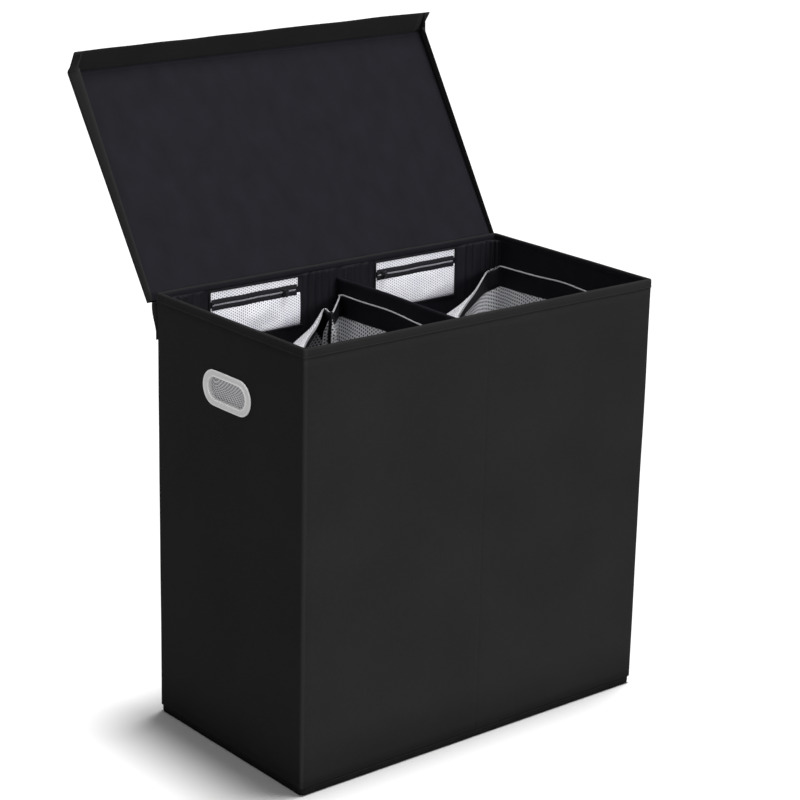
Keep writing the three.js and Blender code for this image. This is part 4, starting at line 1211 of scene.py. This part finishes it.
def sew(name, line, outwards, body):
    piece(name, stitch_mesh(line, outwards), "cover_cloth", body, (), "sewing_thread")


def sew_round(name, inset, radius, height):
    """Stitches once round the body at that height."""
    points, outwards = around(inset, radius)
    line = np.column_stack([points, np.full(len(points), height)])
    level_out = np.column_stack([outwards, np.zeros(len(outwards))])
    sew(name, [*line, line[0]], [*level_out, level_out[0]], "hamper_body")


sew_round("rim_stitches", -0.85 * mm, corner_radius, body_top - 11.2 * mm)
sew_round("hem_stitches", 0.9 * mm, hem_radius, 9.6 * mm)

right_end, front_end, back_end = inner_half - seam_inset, lid_front + seam_inset, lid_back - seam_inset
corners = [(-right_end, front_end), (right_end, front_end), (right_end, back_end), (-right_end, back_end)]
lid_line = opened(askew([(x, y, lid_under - 0.15 * mm) for x, y in (*corners, corners[0])]))
sew("lid_stitches", lid_line, [open_turn @ (0, 0, -1)] * len(lid_line), "lid")
strip_line = [(sign * (half_width - 4 * mm), foot + 0.1 * mm, strip_low.z + 6 * mm) for sign in (1, -1)]
sew("strip_stitches", strip_line, [(0, 1, 0)] * 2, "hamper_body")

# %% [markdown]
# ## Finishes for the solids that stay
#
# The boards, the divider's strips, the rings inside the hand slots and the zips' sliders and pulls have the right
# shape already. They keep their solids and get their finish.

# %% Paint the solids that stay
record_slots = {part["node"]: part["material_slot"] for part in frame["record"]["subparts"]}
kept = [name for name, solid in frame["nodes"].items() if not solid.hide_render]
for name in kept:
    solid = frame["nodes"][name]
    solid.data.materials.clear()
    solid.data.materials.append(materials[record_slots[name]])
print("solids that stay:", ", ".join(sorted(kept)))

# %% [markdown]
# ## The studio
#
# The hamper stands on a white floor that runs out of sight. The world gives even light from all sides. Broad lamps
# in front and above give the front and the lid about twice the light of the left end. The photograph's floor has one
# short soft shadow along the left end and none of the lid, so the floor has a lamp of its own, almost overhead.
# Rays that come straight from the camera find a white world and a white floor; others find both greyer.

# %% Floor, world and lamps
floor_half = 9
corners = [(-floor_half, -floor_half, 0), (floor_half, -floor_half, 0), (floor_half, floor_half, 0),
           (-floor_half, floor_half, 0)]
floor = add_object("floor", new_mesh(corners, [[0, 1, 2, 3]]))
floor.location.z = -0.2 * mm
floor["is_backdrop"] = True
paper = Finish("studio_floor", 0.9, 0.0)
seen = paper.node("ShaderNodeLightPath", {}, {}, "Is Camera Ray")
paper.paint(seen, "aaaaaa", "ffffff")
floor.data.materials.append(paper.material)

world = bpy.data.worlds.new("studio")
world.use_nodes = True
bpy.context.scene.world = world
tree = world.node_tree
light_path = tree.nodes.new("ShaderNodeLightPath")
background = tree.nodes["Background"]
strength = tree.nodes.new("ShaderNodeMapRange")
strength.inputs["To Min"].default_value = 0.25
strength.inputs["To Max"].default_value = 1.0
tree.links.new(light_path.outputs["Is Camera Ray"], strength.inputs["Value"])
tree.links.new(strength.outputs[0], background.inputs["Strength"])
background.inputs["Color"].default_value = (1, 1, 1, 1)

lid_pieces = [item for item in bpy.data.objects if item.name.startswith("lid_")]
lamps = {  # its direction, its width in degrees, its energy, and whether it is the floor's own
    "front_lamp": ((-0.10, 0.95, -0.30), 20, 1.7, False),
    "left_lamp": ((0.80, 0.32, -0.50), 30, 0.44, False),
    "top_lamp": ((-0.12, 0.20, -0.97), 30, 3.0, False),
    "floor_lamp": ((-0.14, 0.018, -0.99), 13, 3.0, True),
}
for name, (direction, softness, energy, for_floor) in lamps.items():
    lamp = add_object(name, bpy.data.lights.new(name, "SUN"))
    lamp.data.angle = math.radians(softness)
    lamp.data.energy = energy
    lamp.rotation_euler = Vector(direction).to_track_quat("-Z", "Y").to_euler()
    lit = bpy.data.collections.new(f"{name}_lights")
    lit.objects.link(floor)
    lamp.light_linking.receiver_collection = lit
    lit.collection_objects[0].light_linking.link_state = "INCLUDE" if for_floor else "EXCLUDE"
    if for_floor:
        no_shadow = bpy.data.collections.new(f"{name}_passes")
        lamp.light_linking.blocker_collection = no_shadow
        for item in lid_pieces:
            no_shadow.objects.link(item)
        for entry in no_shadow.collection_objects:
            entry.light_linking.link_state = "EXCLUDE"
bpy.context.scene.view_settings.view_transform = "Standard"

# %% [markdown]
# ## Close
#
# The box round the dressed hamper is printed beside that of its solids: cloth may stand a few millimetres proud.

# %% Print the sizes and finish
visual_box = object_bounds()
for name, box in (("solids", solid_box), ("visual", visual_box)):
    print(name, [[round(c, 4) for c in corner] for corner in box])
